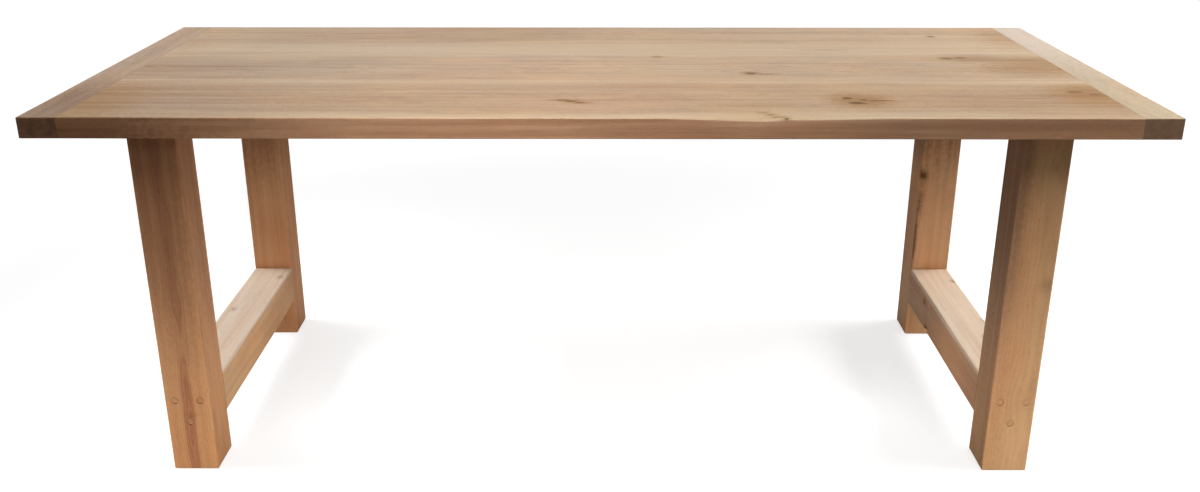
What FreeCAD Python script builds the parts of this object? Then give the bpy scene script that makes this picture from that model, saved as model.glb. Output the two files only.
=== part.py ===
import FreeCAD, Part
import math
import os
import Sketcher
from FreeCAD import Placement, Rotation, Vector

# A dining table of solid oak. Three wide boards make the field of its top, with an end board
# across each end, and two H-shaped trestles of square beams carry it.
# Millimetres. The origin lies on the floor under the middle of the top, X runs along the
# length, Y from the front to the back and Z up. Left is -X and front is -Y.

# Driving dimensions: name, value, what it measures
SIZES = [
    # The whole table
    ("table_length", 2100, "length of the top over both end boards"),
    ("table_depth", 900, "depth of the top from front to back"),
    ("table_height", 770, "height of the top's upper face"),
    # The top
    ("top_thickness", 40, "thickness of all boards of the top"),
    ("end_board_width", 72, "width of an end board along the table"),
    ("top_arris", 2, "rounding of the top's outer edges"),
    # The joint between the boards and an end board
    ("tongue_thickness", 14, "thickness of tongue and tenons"),
    ("tongue_length", 20, "how far the tongue reaches into the end board"),
    ("tongue_setback", 45, "how far the tongue stops short of the long edges"),
    ("tenon_width", 110, "width of the tenon on each board"),
    ("tenon_length", 50, "how far a tenon reaches into the end board"),
    ("movement_gap", 4, "room beside tongue and tenons for the boards to swell"),
    ("end_peg_diameter", 10, "pegs through the tenons"),
    ("end_peg_length", 32, "length of such a peg, up from the underside"),
    ("end_peg_inset", 28, "from the end board's inner face to the pegs"),
    ("end_peg_run", 8, "how far the outer boards can slide along their pegs"),
    # The trestles
    ("post_width", 92, "width of posts, stretchers and top rails along the table"),
    ("post_depth", 92, "depth of a post across the table"),
    ("post_end_inset", 165, "from the end of the top to a post's outer face"),
    ("post_edge_inset", 70, "from the long edge of the top to a post's face"),
    ("frame_arris", 2.5, "rounding of the beams' edges"),
    ("stretcher_height", 92, "height of the stretcher's section"),
    ("stretcher_lift", 90, "from the floor to the stretcher's underside"),
    ("dowel_diameter", 14, "dowels through a post into the stretcher"),
    ("dowel_reach", 60, "how far a dowel reaches into the stretcher"),
    ("dowel_side_inset", 20, "from a post's side to the outer dowels"),
    ("dowel_edge_inset", 22, "from the stretcher's top and underside to the dowels"),
    ("rail_thickness", 40, "height of the flat rail under the top"),
    ("rail_tenon_shoulder", 16, "from the rail's side to its tenon"),
    ("rail_tenon_thickness", 16, "height of the rail's tenon"),
    ("rail_tenon_length", 45, "how far the rail's tenon reaches into a post"),
    # The bolts that hold the top on the trestles
    ("bolt_diameter", 8, "shank of a bolt"),
    ("bolt_reach", 18, "how far a bolt reaches into its insert"),
    ("bolt_head_width", 15, "head of a bolt over its corners"),
    ("bolt_head_height", 5.5, "height of a bolt's head"),
    ("bolt_side_inset", 21, "from the rail's side to the bolts"),
    ("bolt_seam_inset", 50, "from a seam between boards to the outer bolts"),
    ("bolt_hole_diameter", 9, "hole in the rail for a bolt"),
    ("bolt_run", 8, "how far the outer bolts can slide in their slots"),
    ("washer_diameter", 24, "washer under a bolt's head"),
    ("washer_thickness", 2, "thickness of a washer"),
    ("insert_diameter", 13, "threaded insert in a board"),
    ("insert_length", 20, "length of an insert"),
    # Clearances
    ("fit_gap", 0.2, "on each face of a tongue or tenon in its mortise"),
    ("round_gap", 0.1, "around a peg, dowel, bolt or insert in its hole"),
    ("end_gap", 1, "left free at the bottom of each mortise and hole"),
]
BOARD_COUNT = 3
HEAD_SIDES = 6
# Two places nearer than this count as one where edges are picked
SAME_PLACE = 1e-4

# Lengths and places that follow from the driving dimensions
BOARD_WIDTH = f"(Sizes.table_depth / {BOARD_COUNT})"
BOARD_LENGTH = "(Sizes.table_length - 2 * Sizes.end_board_width)"
POST_HEIGHT = "(Sizes.table_height - Sizes.top_thickness)"
BETWEEN_POSTS = "(Sizes.table_depth - 2 * Sizes.post_edge_inset - 2 * Sizes.post_depth)"
TRESTLE_X = "(Sizes.table_length / 2 - Sizes.post_end_inset - Sizes.post_width / 2)"
POST_Y = "(Sizes.table_depth / 2 - Sizes.post_edge_inset - Sizes.post_depth / 2)"
RAIL_Z = f"({POST_HEIGHT} - Sizes.rail_thickness)"
BOLT_X = "(Sizes.post_width / 2 - Sizes.bolt_side_inset)"
BOLT_Y = f"({BOARD_WIDTH} / 2 + Sizes.bolt_seam_inset)"
TONGUE_BOTTOM = "(Sizes.top_thickness / 2 - Sizes.tongue_thickness / 2)"
TONGUE_TOP = "(Sizes.top_thickness / 2 + Sizes.tongue_thickness / 2)"
RAIL_TENON_X = "(Sizes.post_width / 2 - Sizes.rail_tenon_shoulder)"
RAIL_TENON_BOTTOM = "(Sizes.rail_thickness / 2 - Sizes.rail_tenon_thickness / 2)"
RAIL_TENON_TOP = "(Sizes.rail_thickness / 2 + Sizes.rail_tenon_thickness / 2)"
ZERO = "0"

doc = FreeCAD.newDocument("TrestleTable")
sheet = doc.addObject("Spreadsheet::Sheet", "Sizes")
for row, (alias, value, meaning) in enumerate(SIZES, start=1):
    sheet.set(f"A{row}", alias)
    sheet.set(f"B{row}", str(value))
    sheet.set(f"C{row}", meaning)
    sheet.setAlias(f"B{row}", alias)
doc.recompute()
pieces = []


# Sketches
def amount(words):
    """What an expression comes to with the sheet's sizes, so that a sketch starts where it ends."""
    return float(sheet.evalExpression(words))


def point_at(x, y):
    return Vector(amount(x), amount(y), 0)


def origin_of(body, role):
    """The plane or axis of the body's own origin that has this role."""
    return next(feature for feature in body.Origin.OriginFeatures if feature.Role == role)


def sketch_on(body, name, role, offset=ZERO):
    """A sketch on one of the body's origin planes, moved along the plane's normal."""
    sketch = body.newObject("Sketcher::SketchObject", name)
    sketch.AttachmentSupport = [(origin_of(body, role), "")]
    sketch.MapMode = "FlatFace"
    sketch.setExpression("AttachmentOffset.Base.z", offset)
    return sketch


def bind(sketch, kind, elements, words):
    """A constraint of a length, bound to the sheet."""
    number = sketch.addConstraint(Sketcher.Constraint(kind, *elements, amount(words)))
    sketch.setExpression(f"Constraints[{number}]", words)


def place_point(sketch, geometry, point, x, y):
    bind(sketch, "DistanceX", (-1, 1, geometry, point), x)
    bind(sketch, "DistanceY", (-1, 1, geometry, point), y)


def rectangle(sketch, left, right, bottom, top):
    first = sketch.GeometryCount
    places = ((left, bottom), (right, bottom), (right, top), (left, top))
    corners = [point_at(x, y) for x, y in places]
    for start, end in zip(corners, corners[1:] + corners[:1]):
        sketch.addGeometry(Part.LineSegment(start, end), False)
    lines = range(first, first + len(corners))
    for line, following in zip(lines, [*lines[1:], first]):
        sketch.addConstraint(Sketcher.Constraint("Coincident", line, 2, following, 1))
    for level, upright in ((lines[0], lines[1]), (lines[2], lines[3])):
        sketch.addConstraint(Sketcher.Constraint("Horizontal", level))
        sketch.addConstraint(Sketcher.Constraint("Vertical", upright))
    place_point(sketch, lines[0], 1, left, bottom)
    place_point(sketch, lines[2], 1, right, top)


def circle(sketch, x, y, radius):
    outline = Part.Circle(point_at(x, y), Vector(0, 0, 1), amount(radius))
    number = sketch.addGeometry(outline, False)
    place_point(sketch, number, 3, x, y)
    bind(sketch, "Radius", (number,), radius)


def slot(sketch, x, y, radius, run):
    """A round-ended slot along the sketch's second axis, run longer than it is wide."""
    above = f"{y} + {run} / 2"
    below = f"{y} - {run} / 2"
    upper_circle = Part.Circle(point_at(x, above), Vector(0, 0, 1), amount(radius))
    lower_circle = Part.Circle(point_at(x, below), Vector(0, 0, 1), amount(radius))
    upper_arc = Part.ArcOfCircle(upper_circle, 0, math.pi)
    lower_arc = Part.ArcOfCircle(lower_circle, math.pi, 2 * math.pi)
    upper = sketch.addGeometry(upper_arc, False)
    lower = sketch.addGeometry(lower_arc, False)
    left = sketch.addGeometry(Part.LineSegment(upper_arc.EndPoint, lower_arc.StartPoint), False)
    right = sketch.addGeometry(Part.LineSegment(lower_arc.EndPoint, upper_arc.StartPoint), False)
    turns = ((upper, 2, left, 1), (left, 2, lower, 1), (lower, 2, right, 1), (right, 2, upper, 1))
    for turn in turns:
        sketch.addConstraint(Sketcher.Constraint("Tangent", *turn))
    sketch.addConstraint(Sketcher.Constraint("Equal", upper, lower))
    bind(sketch, "Radius", (upper,), radius)
    place_point(sketch, upper, 3, x, above)
    place_point(sketch, lower, 3, x, below)


# Features
def pad(body, name, sketch, length, both_ways=False, backwards=False):
    feature = body.newObject("PartDesign::Pad", name)
    feature.Profile = sketch
    feature.setExpression("Length", length)
    feature.Midplane = both_ways
    feature.Reversed = backwards
    doc.recompute()
    return feature


def pocket(body, name, sketch, depth=None, backwards=False):
    """Cuts to a depth, or right through where none is given, and makes sure that it did cut."""
    before = body.Shape.Volume
    feature = body.newObject("PartDesign::Pocket", name)
    feature.Profile = sketch
    feature.Reversed = backwards
    if depth:
        feature.setExpression("Length", depth)
    else:
        feature.Type = "ThroughAll"
        feature.Midplane = True
    doc.recompute()
    if not body.Shape.Volume < before:
        raise RuntimeError(f"{body.Label}: {name} cuts nothing")
    return feature


def mirror(body, name, original, role):
    feature = body.newObject("PartDesign::Mirrored", name)
    feature.Originals = [original]
    feature.MirrorPlane = (origin_of(body, role), [""])
    body.Tip = feature
    doc.recompute()


def at_limit(edge, box, axis, side):
    """Whether an edge lies all along the lower (-1) or upper (1) limit of a box on one axis."""
    limit = getattr(box, axis + ("Max" if side > 0 else "Min"))
    near_end = abs(getattr(edge.BoundBox, axis + "Min") - limit)
    far_end = abs(getattr(edge.BoundBox, axis + "Max") - limit)
    return max(near_end, far_end) < SAME_PLACE


def ease_edges(body, limits, radius):
    """Rounds each edge that lies on all the limits of one of the given sets."""
    base = body.Tip
    box = base.Shape.BoundBox
    chosen = []
    for number, edge in enumerate(base.Shape.Edges, start=1):
        for wanted in limits:
            if all(at_limit(edge, box, axis, side) for axis, side in wanted.items()):
                chosen.append(f"Edge{number}")
                break
    feature = body.newObject("PartDesign::Fillet", "EasedEdges")
    feature.Base = (base, chosen)
    feature.setExpression("Radius", radius)
    doc.recompute()


# Pieces
def new_piece(label, x, y, z, half_turned=False):
    """An empty body, placed in the table and, where asked, turned half round on its Z axis."""
    body = doc.addObject("PartDesign::Body", label)
    body.Label = label
    body.Placement = Placement(Vector(0, 0, 0), Rotation(Vector(0, 0, 1), 180 if half_turned else 0))
    for axis, words in (("x", x), ("y", y), ("z", z)):
        body.setExpression(f"Placement.Base.{axis}", words)
    pieces.append(body)
    return body


def make_board(label, y, outer, half_turned=False):
    """A board of the top. The outer boards have their free edge on their own -Y side."""
    body = new_piece(label, ZERO, y, POST_HEIGHT, half_turned)
    half_length = f"{BOARD_LENGTH} / 2"
    half_width = f"{BOARD_WIDTH} / 2"
    plan = sketch_on(body, "BoardPlan", "XY_Plane")
    rectangle(plan, f"-{half_length}", half_length, f"-{half_width}", half_width)
    pad(body, "Plank", plan, "Sizes.top_thickness")

    tongue_start = f"-{half_width} + Sizes.tongue_setback" if outer else f"-{half_width}"
    tongue = sketch_on(body, "TongueSection", "YZ_Plane")
    rectangle(tongue, tongue_start, half_width, TONGUE_BOTTOM, TONGUE_TOP)
    pad(body, "Tongues", tongue, f"{BOARD_LENGTH} + 2 * Sizes.tongue_length", both_ways=True)
    tenon = sketch_on(body, "TenonSection", "YZ_Plane")
    rectangle(tenon, "-Sizes.tenon_width / 2", "Sizes.tenon_width / 2", TONGUE_BOTTOM, TONGUE_TOP)
    pad(body, "Tenons", tenon, f"{BOARD_LENGTH} + 2 * Sizes.tenon_length", both_ways=True)

    peg_radius = "Sizes.end_peg_diameter / 2 + Sizes.round_gap"
    peg_holes = sketch_on(body, "PegHoles", "XY_Plane")
    for sign in ("-", ""):
        peg_x = f"{sign}({half_length} + Sizes.end_peg_inset)"
        if outer:
            slot(peg_holes, peg_x, ZERO, peg_radius, "Sizes.end_peg_run")
        else:
            circle(peg_holes, peg_x, ZERO, peg_radius)
    pocket(body, "PegHolesCut", peg_holes)

    bolt_y = f"{half_width} - Sizes.bolt_seam_inset" if outer else ZERO
    insert_holes = sketch_on(body, "InsertHoles", "XY_Plane")
    for trestle in (f"-{TRESTLE_X}", TRESTLE_X):
        for side in (f"-{BOLT_X}", f"+{BOLT_X}"):
            circle(insert_holes, trestle + side, bolt_y, "Sizes.insert_diameter / 2 + Sizes.round_gap")
    pocket(body, "InsertHolesCut", insert_holes, "Sizes.insert_length + Sizes.end_gap", backwards=True)
    if outer:
        free_edges = [{"Y": -1, "Z": side} for side in (-1, 1)]
        ease_edges(body, free_edges, "Sizes.top_arris")


def end_peg_places():
    """Where the pegs and tenons of an end board lie across the table."""
    return (f"-{BOARD_WIDTH}", ZERO, BOARD_WIDTH)


def make_end_board(label, x, half_turned=False):
    """A board across the end of the top, with its groove and mortises on its own -X side."""
    body = new_piece(label, x, ZERO, POST_HEIGHT, half_turned)
    half_width = "Sizes.end_board_width / 2"
    half_depth = "Sizes.table_depth / 2"
    plan = sketch_on(body, "EndBoardPlan", "XY_Plane")
    rectangle(plan, f"-{half_width}", half_width, f"-{half_depth}", half_depth)
    pad(body, "Plank", plan, "Sizes.top_thickness")

    groove_bottom = f"{TONGUE_BOTTOM} - Sizes.fit_gap"
    groove_top = f"{TONGUE_TOP} + Sizes.fit_gap"
    groove_reach = f"({half_depth} - Sizes.tongue_setback + Sizes.movement_gap)"
    groove = sketch_on(body, "GrooveSection", "YZ_Plane", f"-{half_width}")
    rectangle(groove, f"-{groove_reach}", groove_reach, groove_bottom, groove_top)
    pocket(body, "Groove", groove, "Sizes.tongue_length + Sizes.end_gap", backwards=True)
    mortise_reach = "(Sizes.tenon_width / 2 + Sizes.movement_gap)"
    mortises = sketch_on(body, "MortiseSections", "YZ_Plane", f"-{half_width}")
    for y in end_peg_places():
        rectangle(mortises, f"{y} - {mortise_reach}", f"{y} + {mortise_reach}", groove_bottom, groove_top)
    pocket(body, "Mortises", mortises, "Sizes.tenon_length + Sizes.end_gap", backwards=True)

    peg_holes = sketch_on(body, "PegHoles", "XY_Plane")
    peg_x = f"-{half_width} + Sizes.end_peg_inset"
    for y in end_peg_places():
        circle(peg_holes, peg_x, y, "Sizes.end_peg_diameter / 2 + Sizes.round_gap")
    pocket(body, "PegHolesCut", peg_holes, "Sizes.end_peg_length + Sizes.end_gap", backwards=True)
    outer_edges = [{"X": 1, "Z": side} for side in (-1, 1)]
    outer_edges += [{"Y": face, "Z": side} for face in (-1, 1) for side in (-1, 1)]
    outer_edges += [{"X": 1, "Y": face} for face in (-1, 1)]
    ease_edges(body, outer_edges, "Sizes.top_arris")


def make_end_pegs(label, x, half_turned=False):
    body = new_piece(label, x, ZERO, POST_HEIGHT, half_turned)
    rounds = sketch_on(body, "PegRounds", "XY_Plane")
    peg_x = "-Sizes.end_board_width / 2 + Sizes.end_peg_inset"
    for y in end_peg_places():
        circle(rounds, peg_x, y, "Sizes.end_peg_diameter / 2")
    pad(body, "Pegs", rounds, "Sizes.end_peg_length")


def dowel_places(stretcher_bottom):
    """Two dowels side by side above and one below them, across a post and up."""
    across = "(Sizes.post_width / 2 - Sizes.dowel_side_inset)"
    upper = f"{stretcher_bottom} + Sizes.stretcher_height - Sizes.dowel_edge_inset"
    lower = f"{stretcher_bottom} + Sizes.dowel_edge_inset"
    return ((f"-{across}", upper), (across, upper), (ZERO, lower))


def make_post(label, x, y, half_turned=False):
    """A post whose own +Y side faces the stretcher and the rail."""
    body = new_piece(label, x, y, ZERO, half_turned)
    half_width = "Sizes.post_width / 2"
    half_depth = "Sizes.post_depth / 2"
    section = sketch_on(body, "PostSection", "XY_Plane")
    rectangle(section, f"-{half_width}", half_width, f"-{half_depth}", half_depth)
    pad(body, "Beam", section, POST_HEIGHT)

    dowel_holes = sketch_on(body, "DowelHoles", "XZ_Plane")
    for dowel_x, dowel_z in dowel_places("Sizes.stretcher_lift"):
        circle(dowel_holes, dowel_x, dowel_z, "Sizes.dowel_diameter / 2 + Sizes.round_gap")
    pocket(body, "DowelHolesCut", dowel_holes)

    mortise_x = f"({RAIL_TENON_X} + Sizes.fit_gap)"
    mortise_bottom = f"{RAIL_Z} + {RAIL_TENON_BOTTOM} - Sizes.fit_gap"
    mortise_top = f"{RAIL_Z} + {RAIL_TENON_TOP} + Sizes.fit_gap"
    mortise = sketch_on(body, "RailMortise", "XZ_Plane", f"-{half_depth}")
    rectangle(mortise, f"-{mortise_x}", mortise_x, mortise_bottom, mortise_top)
    pocket(body, "RailMortiseCut", mortise, "Sizes.rail_tenon_length + Sizes.end_gap", backwards=True)

    corners = [{"X": side, "Y": face} for side in (-1, 1) for face in (-1, 1)]
    foot = {"Z": -1}
    ease_edges(body, [*corners, foot], "Sizes.frame_arris")


def make_dowels(label, x, y, half_turned=False):
    """Dowels in a post's own frame, from its outer face into the stretcher's end."""
    body = new_piece(label, x, y, ZERO, half_turned)
    rounds = sketch_on(body, "DowelRounds", "XZ_Plane", "Sizes.post_depth / 2")
    for dowel_x, dowel_z in dowel_places("Sizes.stretcher_lift"):
        circle(rounds, dowel_x, dowel_z, "Sizes.dowel_diameter / 2")
    pad(body, "Dowels", rounds, "Sizes.post_depth + Sizes.dowel_reach", backwards=True)


def make_stretcher(label, x):
    body = new_piece(label, x, ZERO, "Sizes.stretcher_lift")
    half_width = "Sizes.post_width / 2"
    section = sketch_on(body, "StretcherSection", "XZ_Plane")
    rectangle(section, f"-{half_width}", half_width, ZERO, "Sizes.stretcher_height")
    pad(body, "Beam", section, BETWEEN_POSTS, both_ways=True)

    dowel_holes = sketch_on(body, "DowelHoles", "XZ_Plane", f"-{BETWEEN_POSTS} / 2")
    for dowel_x, dowel_z in dowel_places(ZERO):
        circle(dowel_holes, dowel_x, dowel_z, "Sizes.dowel_diameter / 2 + Sizes.round_gap")
    one_end = pocket(body, "DowelHolesCut", dowel_holes, "Sizes.dowel_reach + Sizes.end_gap", backwards=True)
    mirror(body, "DowelHolesOtherEnd", one_end, "XZ_Plane")
    corners = [{"X": side, "Z": level} for side in (-1, 1) for level in (-1, 1)]
    ease_edges(body, corners, "Sizes.frame_arris")


def make_top_rail(label, x):
    """A flat rail with a tenon on each end, and slots that let the outer boards move."""
    body = new_piece(label, x, ZERO, RAIL_Z)
    half_width = "Sizes.post_width / 2"
    section = sketch_on(body, "RailSection", "XZ_Plane")
    rectangle(section, f"-{half_width}", half_width, ZERO, "Sizes.rail_thickness")
    pad(body, "Rail", section, BETWEEN_POSTS, both_ways=True)
    tenon = sketch_on(body, "TenonSection", "XZ_Plane")
    rectangle(tenon, f"-{RAIL_TENON_X}", RAIL_TENON_X, RAIL_TENON_BOTTOM, RAIL_TENON_TOP)
    pad(body, "Tenons", tenon, f"{BETWEEN_POSTS} + 2 * Sizes.rail_tenon_length", both_ways=True)

    hole_radius = "Sizes.bolt_hole_diameter / 2"
    bolt_holes = sketch_on(body, "BoltHoles", "XY_Plane")
    for bolt_x in (f"-{BOLT_X}", BOLT_X):
        circle(bolt_holes, bolt_x, ZERO, hole_radius)
        for bolt_y in (f"-{BOLT_Y}", BOLT_Y):
            slot(bolt_holes, bolt_x, bolt_y, hole_radius, "Sizes.bolt_run")
    pocket(body, "BoltHolesCut", bolt_holes)
    lower_edges = [{"X": side, "Z": -1} for side in (-1, 1)]
    ease_edges(body, lower_edges, "Sizes.frame_arris")


def repeat_over_rail(body, originals):
    """Repeats a piece made at the rail's first bolt at all its bolts, two by three."""
    feature = body.newObject("PartDesign::LinearPattern", "AllBolts")
    feature.Originals = originals
    feature.Direction = (origin_of(body, "X_Axis"), [""])
    feature.setExpression("Length", f"2 * {BOLT_X}")
    feature.Occurrences = 2
    feature.Direction2 = (origin_of(body, "Y_Axis"), [""])
    feature.setExpression("Length2", f"2 * {BOLT_Y}")
    feature.Occurrences2 = BOARD_COUNT
    body.Tip = feature
    doc.recompute()


def round_at_first_bolt(body, name, level, diameter):
    """A sketch of one round at the rail's first bolt, at a height above the rail's underside."""
    sketch = sketch_on(body, name, "XY_Plane", level)
    circle(sketch, f"-{BOLT_X}", f"-{BOLT_Y}", f"({diameter}) / 2")
    return sketch


def make_bolts(label, x):
    body = new_piece(label, x, ZERO, RAIL_Z)
    head = body.newObject("PartDesign::AdditivePrism", "Head")
    head.Polygon = HEAD_SIDES
    head.AttachmentSupport = [(origin_of(body, "XY_Plane"), "")]
    head.MapMode = "FlatFace"
    head.setExpression("Circumradius", "Sizes.bolt_head_width / 2")
    head.setExpression("Height", "Sizes.bolt_head_height")
    head.setExpression("AttachmentOffset.Base.x", f"-{BOLT_X}")
    head.setExpression("AttachmentOffset.Base.y", f"-{BOLT_Y}")
    head.setExpression("AttachmentOffset.Base.z", "-Sizes.washer_thickness - Sizes.bolt_head_height")
    doc.recompute()
    round_shank = round_at_first_bolt(body, "ShankRound", "-Sizes.washer_thickness", "Sizes.bolt_diameter")
    shank_length = "Sizes.washer_thickness + Sizes.rail_thickness + Sizes.bolt_reach"
    shank = pad(body, "Shank", round_shank, shank_length)
    repeat_over_rail(body, [head, shank])


def make_ring_group(label, x, level, outer_diameter, thickness):
    """Rings around the bolts of one trestle: its washers or its inserts."""
    body = new_piece(label, x, ZERO, RAIL_Z)
    rounds = round_at_first_bolt(body, "RingRounds", level, outer_diameter)
    circle(rounds, f"-{BOLT_X}", f"-{BOLT_Y}", "Sizes.bolt_diameter / 2 + Sizes.round_gap")
    ring = pad(body, "Ring", rounds, thickness)
    repeat_over_rail(body, [ring])


def make_top():
    make_board("front_board", f"-{BOARD_WIDTH}", outer=True)
    make_board("middle_board", ZERO, outer=False)
    make_board("back_board", BOARD_WIDTH, outer=True, half_turned=True)
    end_x = "(Sizes.table_length / 2 - Sizes.end_board_width / 2)"
    for side, x, half_turned in (("left", f"-{end_x}", True), ("right", end_x, False)):
        make_end_board(f"{side}_end_board", x, half_turned)
        make_end_pegs(f"{side}_end_pegs", x, half_turned)


def make_trestle(side, x):
    for face, y, half_turned in (("front", f"-{POST_Y}", False), ("back", POST_Y, True)):
        make_post(f"{side}_{face}_post", x, y, half_turned)
        make_dowels(f"{side}_{face}_dowels", x, y, half_turned)
    make_stretcher(f"{side}_stretcher", x)
    make_top_rail(f"{side}_top_rail", x)
    make_bolts(f"{side}_bolts", x)
    washer_level = "-Sizes.washer_thickness"
    make_ring_group(f"{side}_washers", x, washer_level, "Sizes.washer_diameter", "Sizes.washer_thickness")
    insert_level = "Sizes.rail_thickness"
    make_ring_group(f"{side}_inserts", x, insert_level, "Sizes.insert_diameter", "Sizes.insert_length")


make_top()
make_trestle("left", f"-{TRESTLE_X}")
make_trestle("right", TRESTLE_X)
doc.recompute()

# Every object is sound before anything is written
for thing in doc.Objects:
    if "Invalid" in thing.State or "Error" in thing.State:
        raise RuntimeError(f"{thing.Label} is not valid: {thing.State}")
for body in pieces:
    if body.Shape.isNull() or not body.Shape.isValid():
        raise RuntimeError(f"{body.Label} has no valid shape")

os.makedirs("parts", exist_ok=True)
for body in pieces:
    body.Shape.exportStep(f"parts/{body.Label}.step")
    print(body.Label, len(body.Shape.Solids), "solids", round(body.Shape.Volume), "mm3")
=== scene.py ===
# %% [markdown]
# # A trestle dining table of solid oak
# The exact solids of this table come from a imported frame, in metres, with the origin on the
# floor under the middle of the top. Blender gives them what a drawing leaves out: edges rubbed
# soft by a plane, small flaws of the timber, and oak that was really cut from a log.
# The frame is loaded first, with a helper that measures the outer box of the scene at the end.

# %% Load the frame
import math
from collections import namedtuple

import bmesh
import bpy
from mathutils import Matrix, Vector, noise


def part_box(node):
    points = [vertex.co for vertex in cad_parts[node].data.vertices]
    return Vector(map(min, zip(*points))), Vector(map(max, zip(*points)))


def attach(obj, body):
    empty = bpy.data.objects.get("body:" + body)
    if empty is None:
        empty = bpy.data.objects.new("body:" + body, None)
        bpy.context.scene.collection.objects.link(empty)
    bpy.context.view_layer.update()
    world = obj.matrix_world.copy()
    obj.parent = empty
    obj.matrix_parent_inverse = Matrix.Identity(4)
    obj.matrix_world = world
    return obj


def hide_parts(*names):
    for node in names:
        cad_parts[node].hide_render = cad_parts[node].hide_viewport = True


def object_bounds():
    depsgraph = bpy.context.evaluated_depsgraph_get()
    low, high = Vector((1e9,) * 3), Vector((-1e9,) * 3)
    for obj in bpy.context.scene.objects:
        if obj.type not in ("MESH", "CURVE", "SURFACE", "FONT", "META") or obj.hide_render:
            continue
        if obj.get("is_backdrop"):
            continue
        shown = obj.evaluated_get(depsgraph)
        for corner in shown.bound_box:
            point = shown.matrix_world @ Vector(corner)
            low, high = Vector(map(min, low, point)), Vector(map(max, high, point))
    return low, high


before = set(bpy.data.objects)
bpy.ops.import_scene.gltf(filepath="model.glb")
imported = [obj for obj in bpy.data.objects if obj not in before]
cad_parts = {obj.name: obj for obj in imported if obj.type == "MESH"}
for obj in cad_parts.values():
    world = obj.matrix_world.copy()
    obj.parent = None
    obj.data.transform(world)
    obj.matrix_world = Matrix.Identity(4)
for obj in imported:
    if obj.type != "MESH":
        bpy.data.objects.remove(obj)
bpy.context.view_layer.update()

# %% [markdown]
# ## Where the pieces lie
# Every place on the table follows from the boxes of the frame's nodes, so nothing drifts from
# the drawing. The boards of the top carry hidden tenons that run into the end boards. Only the
# wood between the two end boards shows, so a board's visible box is cut off at the shoulders.

# %% Boxes of the timbers
TOP_BOARDS = ("front_board", "middle_board", "back_board")
END_BOARDS = ("left_end_board", "right_end_board")
POSTS = ("left_front_post", "left_back_post", "right_front_post", "right_back_post")
STRETCHERS = ("left_stretcher", "right_stretcher")


def timber_box(node):
    """Lowest and highest corner of the part of a timber that shows."""
    low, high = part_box(node)
    if node in TOP_BOARDS:
        low.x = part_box("left_end_board")[1].x
        high.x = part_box("right_end_board")[0].x
    return low, high


def between(start, end, shares):
    """Places on the way from start to end, as shares of that way."""
    return [start + (end - start) * share for share in shares]


for node in TOP_BOARDS + END_BOARDS + POSTS + STRETCHERS:
    low, high = timber_box(node)
    print(f"{node}: {[round(v * 1000) for v in high - low]} mm")

# %% [markdown]
# ## Planed timbers
# A joiner saws a timber square, planes it and rubs the sharp arrises off. The same order works
# here: a cube is scaled to the timber's box, its edges are bevelled, and cuts across it give the
# mesh points to move. Edges that meet a neighbour in a joint are eased by only a hair, so that
# the joint stays tight, while the free arrises get a round that the hand can feel.
# A layer on the faces remembers which faces belong to a rounded arris. Later the border of those
# strips is marked sharp, so that the flat faces stay flat in the light.

# %% Blocks with eased edges
NEAR = 1e-6
ROUNDED = 1
ARRIS = 0.0025
TOP_ARRIS = 0.002
SEAM_EASE = 0.0003
AXES = "xyz"


def on_side(face, low, high, side):
    """Whether a face lies flat on one side of the box, such as x- or z+."""
    axis = AXES.index(side[0])
    level = (high if side[1] == "+" else low)[axis]
    return all(abs(vert.co[axis] - level) < NEAR for vert in face.verts)


def ease(block, edges, radius, segments):
    """Rounds edges, and notes on the new faces that they are rounded."""
    strip = block.faces.layers.int["arris"]
    rounded = bmesh.ops.bevel(
        block, geom=edges, offset=radius, offset_type="OFFSET", segments=segments,
        profile=0.5, affect="EDGES", clamp_overlap=True, material=-1,
    )
    for face in rounded["faces"]:
        face[strip] = ROUNDED


def eased_block(low, high, seams, arris):
    """A box with rounded free edges, and a hair's ease around each side that is a seam."""
    block = bmesh.new()
    block.faces.layers.int.new("arris")
    bmesh.ops.create_cube(block, size=1)
    bmesh.ops.scale(block, vec=high - low, verts=block.verts)
    bmesh.ops.translate(block, vec=(low + high) / 2, verts=block.verts)

    def meets_seam(edge):
        return any(on_side(face, low, high, side) for face in edge.link_faces for side in seams)

    ease(block, [edge for edge in block.edges if not meets_seam(edge)], arris, segments=3)
    ease(block, [edge for edge in block.edges if meets_seam(edge)], SEAM_EASE, segments=1)
    return block


print("arrises:", ARRIS * 1000, "mm on beams,", TOP_ARRIS * 1000, "mm on the top")

# %% Cuts across a block
BOARD_STEP = 0.04
POST_STEP = 0.05


def slice_block(block, axis, places):
    """Cuts new edges into a block with planes square to one axis."""
    normal = Vector([float(name == axis) for name in AXES])
    for place in places:
        everything = block.verts[:] + block.edges[:] + block.faces[:]
        bmesh.ops.bisect_plane(
            block, geom=everything, dist=NEAR, plane_co=normal * place, plane_no=normal,
        )


def even_places(start, end, step):
    """Where to cut the way from start to end into equal lengths of about one step."""
    count = max(2, round((end - start) / step))
    return between(start, end, [cut / count for cut in range(1, count)])


print("cuts:", BOARD_STEP, "m apart on boards and", POST_STEP, "m on posts")

# %% [markdown]
# ## The slight unevenness of planed wood
# A planed face is never a mirror. Smooth noise moves the points of a side inwards by a few
# tenths of a millimetre, so that long reflections on the top bend a little. Points only go
# inwards, which keeps the piece inside its box in the drawing. Seams are left alone. A fixed
# seed gives the same waves in each run.

# %% Unevenness
PLANING_DEPTH = 0.0004
PLANING_WAVES_PER_METRE = 7.0
PLANING_SEED = 5
SKIN = 0.004
noise.seed_set(PLANING_SEED)


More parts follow.
